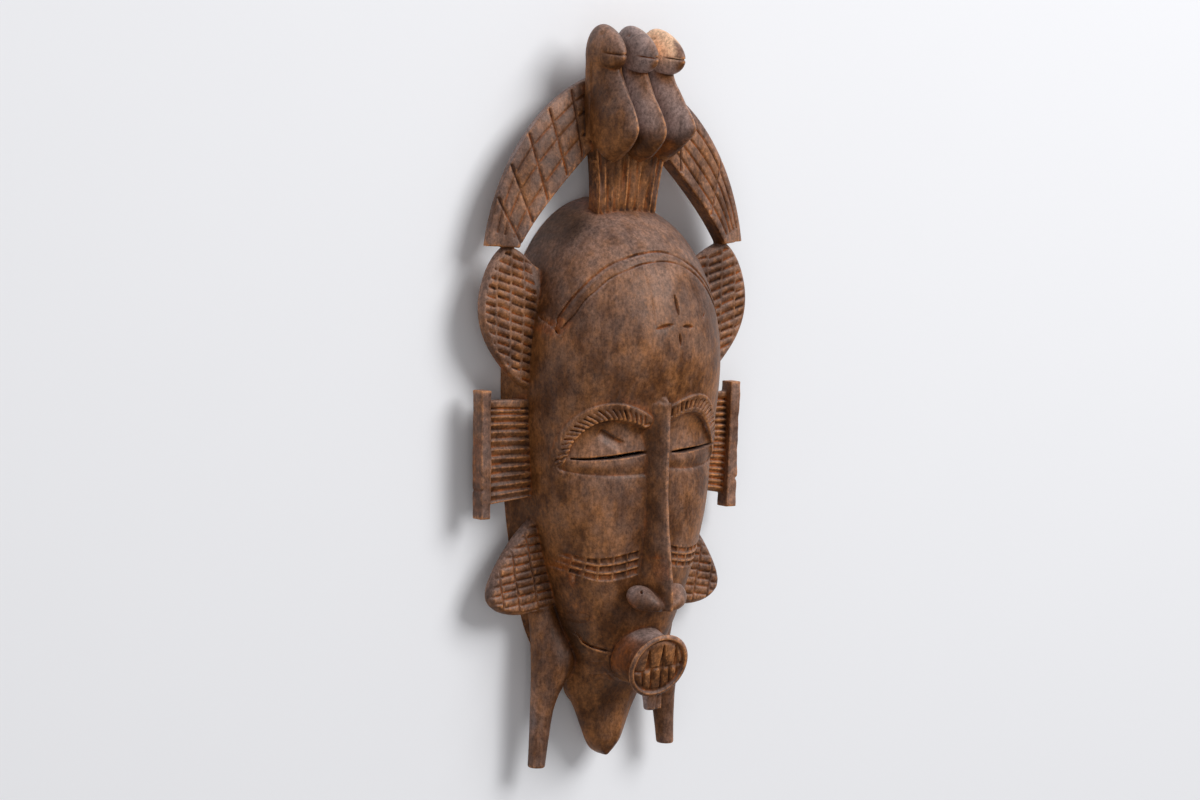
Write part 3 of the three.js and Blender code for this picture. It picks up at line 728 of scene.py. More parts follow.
@dataclass(frozen=True)
class Nose:
    """The long straight nose, a narrow ridge with a square top, and its two nostrils."""

    top: float = 4.8
    tip: float = -117.6
    halves: Line = (
        (-117, 10.2), (-97, 9.4), (-87, 8.7), (-76, 8.1), (-64, 7.5), (-26, 7.5), (-17, 8.2),
        (-8, 9.5), (4.8, 10.8))
    right_less: Line = ((-30, 0), (-8, 3.5), (4.8, 5.5))
    ridge_half: float = 0.8
    ridge: Line = (
        (-117, 87.3), (-111, 87.8), (-100, 87.2), (-90, 86.2), (-81, 84.9), (-63, 82.8),
        (-45, 81.4), (-27, 81.1), (-8, 81), (4.8, 80.2))
    lean: Line = ((-117, 1.1), (-100, 0.5), (-82, 0), (-45, -0.3), (-20, 0.2), (5, 0.5))
    nub: Place = (-2.9, 5.2, 80.6)
    nub_half: Point = (3.7, 3.6)
    nostril: Place = (10.9, -111.2, 76.0)
    nostril_lean: float = math.radians(-34)
    nostril_turn: float = math.radians(38)
    nostril_half: Place = (11.6, 7.6, 6.6)
    nostril_narrow: float = 5.2
    nostril_foot: float = -117.7

    def build(self, block: Block, head: Head) -> None:
        """Raises the nose and its nostrils from the face.

        Args:
            block: The wood.
            head: The head that it stands on.
        """
        w = block.window((-16, self.tip - 4, 50), (16, self.top + 4, 91))
        base, ridge = through(self.halves, w.y), through(self.ridge, w.y)
        base = base - np.where(w.x > 0, through(self.right_less, w.y), 0)
        foot = head.depth(base, w.y) - 0.5
        climb = np.clip((w.z - foot) / (ridge - foot), -0.6, 1)
        half = mix(base, self.ridge_half, climb) + 0.12 * np.sin(0.31 * w.y + 1.0)
        across = np.abs(w.x - through(self.lean, w.y) * climb)
        form = soft_max((across - half) * 0.86, w.z - ridge, 0.7)
        block.join(w, soft_max(soft_max(form, w.y - self.top, 1.2), self.tip - w.y, 1.2), 0.7)
        self._nub(block)
        for side in Side:
            self._nostril(block, side)

    def _nub(self, block: Block) -> None:
        """The worn end of the nose, which stands a little above its ridge."""
        w = block.window((-12, -4, 64), (8, 14, 84))
        x, y, front = self.nub
        half, tall = self.nub_half
        front = front + 0.45 * w.x - 0.35 * np.maximum(w.y - 4, 0)
        front = front + 0.2 * np.sin(1.1 * w.x + 1.4 * w.y)
        form = soft_max(np.abs(w.x - x) - half, np.abs(w.y - y) - tall, 2.4)
        block.join(w, soft_max(form, w.z - front, 1.8), 1.0)

    def _nostril(self, block: Block, side: Side) -> None:
        """A swelling wing with a flat underside, and a small hole in the left one."""
        w = block.window((-30, -124, 58), (30, -94, 92))
        x, y, z = (p - q for p, q in zip((side.value * w.x, w.y, w.z), self.nostril))
        u, v = turned(x, y, self.nostril_lean)
        u, n = turned(u, z, self.nostril_turn)
        long, tall, deep = self.nostril_half
        tall = mix(self.nostril_narrow, tall, ramp(u, -9, 5))
        form = (np.abs(u / long) ** 2.1 + np.abs(v / tall) ** 2 + np.abs(n / deep) ** 2) ** 0.5 - 1
        under = self.nostril_foot - w.y + 0.10 * (78 - w.z) + 0.25 * np.sin(0.9 * w.x)
        block.join(w, soft_max(block.even(form), under, 0.8), 2.6)
        if side is Side.LEFT:
            hole = np.sqrt((u - 3.4) ** 2 + (v - 1.8) ** 2 + (n - 5.6) ** 2) - 1.0
            block.cut(w, hole, 0.4)


@dataclass(frozen=True)
class Mouth:
    """A short flared tube whose round end holds two rows of teeth, and the peg below it."""

    height: float = -151.7
    depth: float = 76.0
    tilt: float = math.radians(20.5)
    middle: float = 1.3
    profile: Line = (
        (-36, 20.4), (-27.4, 19.6), (-25.6, 17.2), (-23.6, 18.6), (-14, 17.6), (-6.5, 17.9),
        (-3.6, 19.3), (-1.8, 20.6), (0, 20.2))
    sag: float = 0.17
    length: float = 34.0
    disc: float = 18.2
    tooth_line: Line = (
        (-16.2, -3.4), (-9.9, -3.9), (-6.3, -2.1), (-1.1, -1.5), (4.4, -1.3), (8.7, -0.7),
        (14.9, 0.2), (17.5, 0.7))
    upper_gaps: tuple[Line, ...] = (
        ((-9, 10.5), (-6.9, -1.6)), ((0.6, 13.6), (3.2, -0.6)), ((9.6, 12.6), (13.2, 0.2)))
    lower_gaps: tuple[Line, ...] = (
        ((-10.2, -3.9), (-7.6, -13.4)), ((-4, -2.4), (-1.4, -16.2)), ((3, -1.8), (5.4, -15.8)),
        ((8.7, -1.6), (11.2, -13.2)), ((13.6, -0.6), (15.6, -8.5)))
    peg: Place = (3.0, -179.0, 64.0)
    peg_step: Place = (8.0, -178.4, 63.6)

    def _face(self, x: Array) -> tuple[Array, Array]:
        """The carved end of the tube.

        Args:
            x: Places across, a column.

        Returns:
            The places up the disc, and a sheet of heights above its rim.
        """
        v = np.arange(-26.0, 26.01, 0.5)
        disc = Skin(x, v[None, :], np.zeros((len(x), len(v))))
        r = np.hypot(x, v[None, :])
        floor = mix(-1.3, -2.3, ramp(r, 14.0, 16.8)) * ramp(r, self.disc, 16.9)
        teeth = cut_line(disc.trail(self.tooth_line), 2.6, 1.5)
        for trail in map(disc.trail, self.upper_gaps):
            gap = np.clip(1.6 - 1.6 * trail.away / mix(0.5, 3.0, trail.share), 0, 1)
            teeth = np.maximum(teeth, 2.0 * gap)
        for trail in map(disc.trail, self.lower_gaps):
            teeth = np.maximum(teeth, 1.5 * tent(trail.away, mix(1.9, 0.8, trail.share)))
        return v, floor - teeth * ramp(r, self.disc, 16.2)

    def build(self, block: Block) -> None:
        """Adds the tube and its peg.

        Args:
            block: The wood.
        """
        w = block.window((-27, -182, 34), (27, -126, 91))
        v, d = turned(w.y - self.height, w.z - self.depth, -self.tilt)
        x = w.x - self.middle
        places, face = self._face(x[:, :, 0])
        at = np.clip((v[0] - places[0]) / 0.5, 0, len(places) - 1.001)
        j = at.astype(int)
        height = mix(face[:, j], face[:, j + 1], at - j)
        tube = np.hypot(x, v - self.sag * np.minimum(d + 2, 0)) - through(self.profile, d)
        carved = np.where(np.hypot(x, v) < self.disc, d - height, -FAR)
        form = np.maximum(soft_max(tube, d, 2.6), carved)
        block.join(w, np.maximum(form, -self.length - d).astype(np.float32), 0.8)
        self._peg(block)

    def _peg(self, block: Block) -> None:
        """A stepped peg under the tube: a round piece and a flatter one at its right."""
        w = block.window((-8, -184, 54), (15, -158, 76))
        x, foot, z = self.peg
        form = np.hypot(w.x - x, w.z - z) - mix(4.6, 3.6, ramp(w.y, -168, -178))
        form = soft_max(form, foot - w.y, 2.0)
        x, foot, z = self.peg_step
        flat = np.maximum(np.abs(w.x - x) - 2.1, np.abs(w.z - z) - 2.6)
        form = soft_min(form, soft_max(flat, foot - w.y, 0.8), 0.4)
        block.join(w, np.maximum(form, w.y + 162), 0.8)


# Chin and legs


@dataclass(frozen=True)
class Chin:
    """A pointed tongue with a flat front between two side facets."""

    middle: float = 1.0
    tip: float = -211.5
    halves: Line = (
        (-211.5, 1.5), (-208, 7), (-203, 11), (-195, 14.5), (-184, 19), (-172, 25), (-158, 28))
    backs: Line = ((-211.5, 17), (-200, 14), (-184, 9), (-172, 6))

    def build(self, block: Block) -> None:
        """Adds the chin under the jaw.

        Args:
            block: The wood.
        """
        w = block.window((-34, self.tip - 4, -2), (36, -146, 46))
        half = through(self.halves, w.y)
        tip = ramp(w.y, self.tip, -200)
        edge, back = mix(20, 21, tip), through(self.backs, w.y)
        ridge = mix(24, 28, tip) + 0.15 * np.maximum(w.y + 190, 0)
        x = w.x - self.middle
        across = np.abs(x)
        front = np.where(x < 0, 0.55, 0.45) * half
        side = np.maximum(across - half, back - w.z)
        facet = (across - half) * (ridge - edge) + (w.z - edge) * (half - front)
        facet = facet / np.hypot(ridge - edge, half - front)
        under = (across - half) * (edge - 4 - back) - (w.z - edge + 4) * 0.25 * half
        under = under / np.hypot(edge - 4 - back, 0.25 * half)
        form = soft_max(soft_max(side, facet, 1.6), w.z - ridge, 1.2)
        form = soft_max(form, under, 1.6)
        form = soft_max(form, self.tip - w.y, 1.5)
        block.join(w, soft_max(form, w.y + 152, 4).astype(np.float32), 9)


@dataclass(frozen=True)
class Leg:
    """A round stump that leaves the jaw at a bulging knee."""

    side: Side
    foot: float
    knee: tuple[float, float, float, float]

    def build(self, block: Block) -> None:
        """Adds the leg."""
        k = self.knee
        rows = (
            (self.foot, 47, 19.5, 5.0, 5.5), (mix(-180, self.foot, 0.5), 45.6, 19.7, 5.8, 6.2),
            (-180, 44, 20, 7.2, 7.4), (-164, 40.5, 20.5, 10.6, 9.6), (-150, *k),
            (-132, 0.5 * (k[0] + 46), 18, 10, 9), (-112, 46, 16, 8, 7))
        y, *columns = zip(*rows)
        w = block.window((-66, self.foot - 4, -2), (66, -104, 40))
        x, z, wide, deep = (through(list(zip(y, column)), w.y) for column in columns)
        form = np.hypot((self.side.value * w.x - x) / wide, (w.z - z) / deep) - 1
        form = soft_max(block.even(form), self.foot - w.y, 1.6)
        block.join(w, soft_max(form, w.y + 110, 3), 1.6)


# Side ornaments


@dataclass(frozen=True)
class Gouges:
    """Rows of short gouges between upright strips."""

    pitch: float
    slope: float
    roof: float
    floor: float

    def cut(self, x: Array, y: Array, uprights: Sequence[Array]) -> Array:
        """Lays them out.

        Args:
            x: Places outward from the middle of the mask.
            y: Places up.
            uprights: Where each upright strip is, from the inner one outward.

        Returns:
            A sheet that goes from 0 on the wood to about 1 where a gouge is deepest.
        """
        total = np.zeros(np.broadcast(x, y).shape)
        for column, (inner, outer) in enumerate(zip(uprights, uprights[1:])):
            bend = 0.5 * np.sin(0.21 * y + 2.1 * column) + 1.3 * (chance(column, 3.0) - 0.5)
            phase = -(y - self.slope * (x - 76) + bend) / self.pitch
            at, row = np.mod(phase, 1), np.floor(phase) + 31 * column
            roof = self.roof * (0.85 + 0.3 * chance(row, 4.0))
            depth = np.minimum(at / roof, (self.roof + self.floor - at) / self.floor)
            depth = np.clip(depth, 0, 1) * (0.75 + 0.4 * chance(row))
            sides = ramp(x - inner, 0.2, 1.3) * ramp(outer - x, 0.2, 1.3)
            total = np.maximum(total, depth * sides)
        return total


@dataclass(frozen=True)
class Plate:
    """A flat slab that stands off the floor, with a carved front."""

    back: float
    front: float
    ease: float

    def build(
        self, block: Block, w: Window, flat: Array, raised: Array, blend: float = 1.2
    ) -> None:
        """Adds the slab.

        Args:
            block: The wood.
            w: The part of it that holds the slab.
            flat: The distance to the slab's outline, a sheet.
            raised: How far its front is raised, a sheet.
            blend: How wide the crease to what it stands on is filled.
        """
        top = w.z - self.front - raised[:, :, None]
        form = soft_max(flat[:, :, None] + 0 * w.z, top, self.ease * 2.2)
        block.join(w, soft_max(form, self.back - w.z, 1.4).astype(np.float32), blend)


@dataclass(frozen=True)
class HairLoop:
    """A round-backed loop of hair beside the forehead, with rows of sunk cells."""

    side: Side
    plate: Plate = Plate(19.0, 26.0, 1.4)
    start: Line = ((52, 82), (55, 84))
    round: Line = (
        (68, 91.5), (79, 95), (89, 85), (95, 69), (95.5, 54), (91, 40), (82, 27), (70, 15), (58, 9))
    heights: Place = (24, 62, 88)
    strips: tuple[Place, ...] = (
        (61.5, 58, 58.6), (68, 66.7, 66.6), (75.8, 76.4, 76.4), (85.5, 86.4, 86), (97, 97, 97))
    gouges: Gouges = Gouges(5.35, 0.33, 0.42, 0.16)
    cell: float = 1.7

    def build(self, block: Block) -> None:
        """Adds the loop."""
        w, x, y = block.beside(self.side, (50, 4, 14), (98, 99, 30))
        flat = outline_gap(np.concatenate([np.array(self.start), spline(self.round)]), x, y)
        uprights = [through(list(zip(self.heights, strip)), y) for strip in self.strips]
        cells = self.cell * self.gouges.cut(x, y, uprights) * ramp(flat, -1.6, -3.0)
        rim = 0.5 * ramp(flat, -3.6, 0) + 5.5 * ramp(y, 66, 84) * ramp(x, 72, 56)
        self.plate.build(block, w, flat, -cells - rim)


@dataclass(frozen=True)
class EarPanel:
    """A ribbed plate beside the eye, closed by an upright bar."""

    side: Side
    ribs: Line
    plate: Plate = Plate(14.0, 19.5, 0.5)
    bar: Plate = Plate(13.5, 24.0, 0.6)
    top: float = 4.6
    bottom_inner: float = -52.5
    bottom_outer: float = -58.5
    climb: float = 5.0
    groove: float = 1.9
    bar_outline: Line = ((87.2, 10.3), (94.2, 10.3), (92.8, -65.8), (85.8, -65.8))

    def build(self, block: Block) -> None:
        """Adds the plate and the bar."""
        w, x, y = block.beside(self.side, (54, -70, 9), (98, 15, 28))
        corners = (
            (54, self.top), (90, self.top - 0.5), (90, self.bottom_outer), (54, self.bottom_inner))
        flat = outline_gap(np.array(corners, float), x, y)
        climb = self.climb * (1 - ramp(x, 58, 88))
        self.plate.build(block, w, flat, climb - self._grooves(x, y), 0.5)
        salt = self.side.value
        uneven = 0.4 * np.sin(0.11 * y + salt) + 0.3 * np.sin(0.29 * y + 2 * salt)
        uneven = uneven + 0.2 * np.sin(0.67 * y)
        nick = 0.9 * bell(y + 47 + 0.7 * (x - 90), 1.1) * ramp(x, 89, 93)
        edge = outline_gap(np.array(self.bar_outline), x, y) - 0.35 * uneven + 0.7 * nick
        self.bar.build(block, w, edge, 0.4 * uneven - nick)

    def _grooves(self, x: Array, y: Array) -> Array:
        """How deep the grooves between the ribs are."""
        share = (self.top - y) / (self.top - self.bottom_inner)
        level = self.top - y - (x - 70) / 32 * 4.5 * share**2
        phase = through(self.ribs, level + 0.12 * np.sin(0.35 * x + 1.3 * y))
        at = np.mod(phase, 1)
        wave = np.minimum(at / 0.62, (1 - at) / 0.38)
        wave = wave * ramp(phase, self.ribs[0][1], self.ribs[0][1] + 0.2)
        strength = self.groove * (0.85 + 0.3 * chance(phase, 5.0 + self.side.value))
        return wave * strength * between(x, (56.5, 59.0), (87.6, 86.8))


@dataclass(frozen=True)
class LowerTab:
    """A rounded tab below the ear panel, with four columns of cells."""

    side: Side
    reach: float = 1.0
    plate: Plate = Plate(18.0, 25.0, 2.0)
    round: Line = (
        (50, -62), (58, -68), (69, -79), (79, -93), (85.3, -106), (85, -115), (77, -121.5),
        (64, -124), (50, -122.5), (36, -119))
    strips: Line = ((38, 52), (50.5, 63), (64, 74.5), (75.5, 84), (90, 96))
    gouges: Gouges = Gouges(4.92, -0.16, 0.3, 0.2)
    cell: float = 1.3
    line: float = 1.2

    def build(self, block: Block) -> None:
        """Adds the tab."""
        w, x, y = block.beside(self.side, (32, -128, 13), (89, -58, 30))
        x = x / self.reach
        flat = outline_gap(spline(self.round), x, y)
        uprights = [through([(-122, low), (-70, high)], y) for low, high in self.strips]
        cells = self.cell * self.gouges.cut(x, y, uprights)
        for number, upright in enumerate(uprights[1:4]):
            off = np.abs(x - upright + 0.4 * np.sin(0.35 * y + 2 * number))
            cells = np.maximum(cells, self.line * tent(off, 0.95))
        rim = 1.3 * ramp(flat, -3.2, 0) * ramp(x, 50, 60)
        self.plate.build(block, w, flat, -cells * ramp(flat, -0.8, -2.2) - rim)


# Crest


@dataclass(frozen=True)
class Wing:
    """A curved wing beside the crest, bevelled to its outer edge and cut with lines."""

    side: Side
    outer: Line = ((19, 195), (58, 182), (86, 142), (92.6, 95.4))
    inner: Line = ((19, 157), (38, 139), (62, 116), (74.5, 94.5))
    back: float = 18.5
    inner_front: float = 31.5
    outer_front: float = 23.5
    long_lines: tuple[float, ...] = (0.28, 0.56, 0.79)
    long_reach: Point = (0.03, 0.93)
    long_depth: float = 1.0
    crossings: Line = ((0.145, 0.2), (0.3, 0.37), (0.46, 0.59), (0.63, 0.78), (0.79, 0.96))
    cross_depth: float = 1.5

    def place(self, across: float, along: float) -> Point:
        """A point of the wing by its shares across and along it."""
        inner, outer = (bezier(edge, np.array([along]))[0] for edge in (self.inner, self.outer))
        return tuple(mix(inner, outer, across))

    def build(self, block: Block) -> None:
        """Adds the wing."""
        w, x, y = block.beside(self.side, (14, 90, 14), (97, 200, 36))
        t = np.linspace(0, 1, 30)
        outer, inner = bezier(self.outer, t), bezier(self.inner, t)
        flat = outline_gap(np.concatenate([outer, inner[::-1]]), x, y)
        sheet = Skin(x, y, np.zeros(flat.shape))
        from_outer, from_inner = sheet.trail(outer).away, sheet.trail(inner).away
        across = np.where(flat < 0, from_inner / (from_inner + from_outer), 0.5)
        across = np.where(flat >= 0, (from_inner > from_outer) * 1.0, across)
        slope = np.maximum(across - 0.1, 0) / 0.9
        top = mix(self.inner_front, self.outer_front, slope)
        Plate(self.back, 0.0, 0.6).build(block, w, flat, top - self._cuts(sheet))

    def _cuts(self, sheet: Skin) -> Array:
        """The depth of the lines along the wing and of those that cross it."""
        cuts = np.zeros(sheet.z.shape)
        for number, share in enumerate(self.long_lines):
            steps = np.linspace(*self.long_reach, 14)
            line = [self.place(share + 0.02 * math.sin(9 * s + number), s) for s in steps]
            cuts = np.maximum(cuts, cut_line(sheet.trail(line), 2.2, self.long_depth))
        for start, end in self.crossings:
            trail = sheet.trail((self.place(0.96, start), self.place(0.05, end)))
            deep = self.cross_depth + 0.3 * np.cos(0.16 * trail.along)
            cuts = np.maximum(cuts, deep * tent(trail.away, 1.25))
        return cuts


@dataclass(frozen=True)
class Level:
    """The pedestal's height and its section there."""

    y: float
    half: float
    back: float
    front: float


@dataclass(frozen=True)
class Pedestal:
    """The flaring block between the head and the birds, fluted on its front."""

    foot: Level = Level(108, 20.6, 22, 33)
    top: Level = Level(158, 26.2, 25.5, 38.5)
    flutes: int = 9

    def build(self, block: Block) -> None:
        """Adds the block."""
        w = block.window((-31, 104, 16), (31, 162, 44))
        t = (w.y - self.foot.y) / (self.top.y - self.foot.y)
        half = mix(self.foot.half, self.top.half, t * np.abs(t))
        back, front = mix(self.foot.back, self.top.back, t), mix(self.foot.front, self.top.front, t)
        form = soft_max(np.abs(w.x) - half, w.z - front + self._grooves(w, half), 1.0)
        form = soft_max(form, back - w.z, 1.0)
        ends = np.maximum(self.foot.y - w.y, w.y - self.top.y)
        block.join(w, np.maximum(form, ends), 0.8)

    def _grooves(self, w: Window, half: Array) -> Array:
        """How deep the flutes are, each a little different."""
        lane = (w.x / (half - 2.4) + 1) / 2 * (self.flutes - 1)
        nearest = np.round(lane)
        bend = 0.07 * np.sin(0.13 * w.y + 1.7 * nearest) + 0.3 * (chance(nearest, 6.0) - 0.5)
        off = (lane - nearest + bend) * 2 * half / self.flutes
        size = 1.3 + 1.3 * chance(nearest + 4)
        deep = 0.8 + 0.3 * np.sin(0.19 * w.y + 2.3 * nearest)
        deep = deep * (1.1 + 1.0 * chance(nearest, 8.0)) * (np.abs(lane - 4) < 4.4)
        return deep * np.clip(1.25 - np.abs(off) / size, 0, 1)


@dataclass(frozen=True)
class Bird:
    """One bird that looks out of the crest: a keeled pear, a short neck, an almond head."""

    middle: float
    keel: Line
    top: float
    beak: float
    shift: float = 0.0
    beak_up: float = 206.2
    head_back: float = 33.0
    head_behind: float = 11.6
    head_half: float = 9.7
    cheek_tall: float = 9.6
    eye: Place = (6.0, 5.6, 39.5)
    neck_half: Point = (9.6, 9.2)
    wide: Line = (
        (145.6, 1.6), (146.5, 4.0), (148.5, 6.6), (151.5, 8.7), (155, 9.9), (159, 10.4),
        (165, 10.5), (175, 10.2), (184, 9.5), (192, 9.0), (204, 9.0))
    backs: Line = (
        (145.2, 45), (148.5, 41), (152, 37.5), (156, 33.5), (162, 29), (170, 27), (204, 27))

    def build(self, block: Block) -> None:
        """Adds the body and the head."""
        w = block.window((self.middle - 14, 140, 18), (self.middle + 14, 210, 78))
        front, half = through(self.keel, w.y), through(self.wide, w.y)
        back = np.minimum(through(self.backs, w.y), front - 3)
        share = np.clip((w.z - back) / (front - back), -0.5, 1.2)
        fore = np.maximum(1 - (np.maximum(share - 0.3, 0) / 0.7) ** 2.1, 0) ** 0.84
        rear = 1 - 0.22 * (np.maximum(0.3 - share, 0) / 0.3) ** 2
        form = np.abs(w.x - self.middle) / np.maximum(half, 0.6) - fore * rear
        form = block.even(np.maximum(form, (w.z - front) / 12))
        form = np.maximum(soft_max(form, back - w.z, 2.0), 145.0 - w.y)
        block.join(w, soft_max(form, w.y - 204, 2), 0.5)
        self._neck(block)
        self._head(block)

    def _neck(self, block: Block) -> None:
        """The plain wood behind the neck and the body, level with the head's back."""
        w = block.window((self.middle - 14, 150, 18), (self.middle + 14, 224, 38))
        half = mix(*self.neck_half, ramp(w.y, 180, 200))
        across = np.abs(w.x - self.middle - self.shift) / half
        back = np.maximum(self.head_back - w.z, 0) / 10.4
        form = block.even((across**2.6 + back**2.6) ** (1 / 2.6) - 1)
        form = soft_max(form, w.z - self.head_back, 1.0)
        block.join(w, soft_max(form, np.maximum(157 - w.y, w.y - 210), 3), 1.0)

    def _head(self, block: Block) -> None:
        """Adds the head, with its beak line and eye dimples.

        Args:
            block: The wood.
        """
        middle = self.middle + self.shift
        w = block.window((middle - 13, 190, 18), (middle + 13, 230, 68))
        ahead = np.clip((w.z - self.head_back) / (self.beak - self.head_back), 0, 1.2)
        behind = np.clip((self.head_back - w.z) / self.head_behind, 0, 1.2)
        full = np.maximum(1 - behind**2.2, 0) ** 0.5
        upper = (self.top - self.beak_up) * np.maximum(1 - ahead**1.5, 0) ** 0.65 * full
        lower = self.cheek_tall * np.maximum(1 - ahead**3.4, 0) ** 0.7 * full
        half = self.head_half * np.maximum(1 - ahead**1.9, 0) ** 0.75 * full
        up = w.y - self.beak_up
        tall = np.where(up > 0, upper, lower)
        form = (np.abs(w.x - middle) / np.maximum(half, 0.4)) ** 2.1
        form = (form + (np.abs(up) / np.maximum(tall, 0.4)) ** 2.1) ** (1 / 2.1) - 1
        form = block.even(np.minimum(form, 4))
        form = np.maximum(form, np.maximum(w.z - self.beak, 20.0 - w.z))
        line = up - 0.3 - 0.12 * (self.beak - w.z)
        cut = tent(np.abs(line), np.where(line > 0, 0.6, 1.3))
        form = form + 1.3 * cut * ramp(w.z, self.beak - 13, self.beak - 8)
        x, below, z = self.eye
        eye = (np.abs(w.x - middle) - x) ** 2 + (w.y - self.top + below) ** 2 + (w.z - z) ** 2
        form = form + 0.9 * tent(np.sqrt(eye), 2.4)
        block.join(w, form.astype(np.float32), 0.5)


# The whole carving


Row = tuple[float | Point, ...]


@dataclass(frozen=True)
class ToneSpot:
    """A place where the wood shows another tone, round or along a line: real discolouring or wear,
    or painted sheen, highlight or shade.
    """

    width: float
    strength: float
    points: tuple[Point, ...]

    def spread(self, x: Array, y: Array) -> Array:
        """How strong the stain is at places across and up."""
        near = np.full(x.shape, 1e9)
        points = self.points if len(self.points) > 1 else self.points * 2
        for (ax, ay), (bx, by) in zip(points, points[1:]):
            ex, ey = bx - ax, by - ay
            t = np.clip(((x - ax) * ex + (y - ay) * ey) / max(ex * ex + ey * ey, 1e-9), 0, 1)
            near = np.minimum(near, np.hypot(x - ax - t * ex, y - ay - t * ey))
        return self.strength * bell(near, self.width)


def tone_spots(*rows: Row) -> tuple[ToneSpot, ...]:
    """Spots of tone from rows that give each one's width, strength and points."""
    return tuple(ToneSpot(width, strength, tuple(points)) for width, strength, *points in rows)


@dataclass(frozen=True)
class Tones:
    """Where the wood is worn pale, partly a painted highlight; has a grey patina under a painted
    sheen; glows like rust; or carries painted shade and black cracks.
    """

    most: float = 1.9
    # Worn pale patches; the strongest, on the right bird's head, is also a painted highlight where
    # the light falls.
    bare_and_highlight: tuple[ToneSpot, ...] = tone_spots(
        (11.5, 1.8, (20.5, 215)), (4, 0.3, (3, 222), (3, 212)), (11, 0.5, (38, -50), (37, -72)),
        (3.6, 0.45, (6, 50.5)), (9, 0.3, (84, 70), (86, 45)), (2, 0.4, (-2.8, -97), (-3.2, -91)),
        (0.8, 0.3, (-42.8, -95), (-41.3, -102)))
    # Grey patina with a painted sheen on the surfaces that face the light: forehead, lids, cheeks,
    # birds, nostrils, chin, leg and wing.
    bloom_and_sheen: tuple[ToneSpot, ...] = tone_spots(
        (17, 1.1, (-8, 78), (10, 66), (24, 60)), (12, 0.6, (-34, 66), (-20, 60)),
        (12, 0.25, (-10, 104), (-38, 92)), (9, 1, (-40, -14), (-18, -16)),
        (8, 0.65, (-38, -44), (-16, -50)), (8, 0.8, (22, -12), (38, -12)),
        (12, 0.8, (30, -46), (30, -70)), (11.5, 1.8, (0, 172), (0, 198)),
        (11.5, 1.6, (18.8, 168), (18.8, 198)), (5, 1, (-13, 190), (-12, 172)),
        (10, 1.9, (2, 214)), (6, 0.35, (-22, 214), (-14, 216)), (4.5, 1, (-15, -108), (-8, -112)),
        (9, 0.8, (0, -188), (0, -170)), (6, 0.9, (14, -110)), (6, 0.8, (-42, -160), (-46, -190)),
        (9, 0.4, (-62, 176), (-74, 150)), (4, 0.8, (-8, -132), (8, -131)), (5, 0.7, (-2, 4)))
    rust: tuple[ToneSpot, ...] = tone_spots(
        (7, 0.9, (-37.8, 54.4), (-39.2, 39.9)), (5, 0.7, (-50, 42), (-20, 38)),
        (8, 0.8, (12.8, 36.4), (34, 44), (44, 60)), (6, 0.5, (-24, 62)), (5, 0.8, (5.8, 51.2)),
        (7, 0.5, (-16.6, -96), (-44, -92)), (2.2, 1.2, (-58, 47), (-55, 52)),
        (6, 0.6, (-28, -118), (-20, -124)), (12, 0.8, (-12, 120), (12, 150)),
        (2.6, 1.6, (-3, -98), (-3, -88)), (9, 0.5, (-86, 20), (-76, 26)),
        (3, 0.6, (-90, -60), (-92, -20)), (2.4, 1, (-9, 201), (-9, 168)),
        (2.4, 1, (9.5, 200), (9.5, 170)), (11, 0.5, (-36, 22), (-8, 17), (20, 18), (38, 26)),
        (9, 0.4, (-30, -112), (-10, -130)), (5, 0.45, (-14, -138), (-17, -152)),
        (1.1, 1.4, (-44.2, -87), (-42.3, -97), (-41.3, -102)), (7, 0.4, (-6, -190), (0, -172)))
    # Painted shade under the birds, the pedestal and the wings, under the forehead's bulge, in the
    # lid's scoop and on the left bar's side, with other darker spots and the black cracks of the
    # cheek's vein and the forehead's split.
    shade_and_cracks: tuple[ToneSpot, ...] = tone_spots(
        (4.2, 1.6, (-33, -14), (-24, -20.5)), (2.4, 0.7, (-41, -92.5), (-38.6, -94.5)),
        (5, 0.7, (-24, 100), (-2, 103)), (6, 0.5, (-22, -58), (-34, -66)),
        (5, 0.6, (-28, -140), (-36, -128)), (5, 0.6, (-46, -208), (-45, -216)),
        (8, 0.8, (0, 152)), (8, 0.8, (18.8, 153)), (7, 0.6, (-18.8, 152)),
        (8, 0.9, (-30, 24), (10, 20)), (2, 0.3, (-92, 0), (-92, -50)),
        (0.9, 1.4, (-40.3, -47.5), (-38.9, -57), (-38.3, -66), (-39.9, -73.1), (-42.2, -69.5),
        (-44.4, -73.3)),
        (0.8, 1, (-13.6, 84.2), (-11.7, 68.8), (-11.3, 55.6), (-10.8, 50.5)),
        (6, 0.7, (-52, 96), (-30, 112)), (5, 0.5, (14, 102), (30, 98)))

    def paint(self, block: Block, points: Array, normals: Array) -> dict[str, Array]:
        """Works out the tones.

        Args:
            block: The carved wood.
            points: The mesh's points in the carver's frame.
            normals: Their directions.

        Returns:
            One list of values for each tone's name.
        """
        x, y = points[:, 0], points[:, 1]
        front = ramp(normals[:, 2], -0.7, -0.2)
        tones = {
            "hollow": block.sample(block.hollowness(1.5, 1), points),
            "shelter": block.sample(block.hollowness(7.0, 3), points, 3)}
        for name in TONES[2:]:
            spreads = (tone_spot.spread(x, y) for tone_spot in getattr(self, name))
            tones[name] = np.clip(sum(spreads), 0, self.most) * front
        return tones


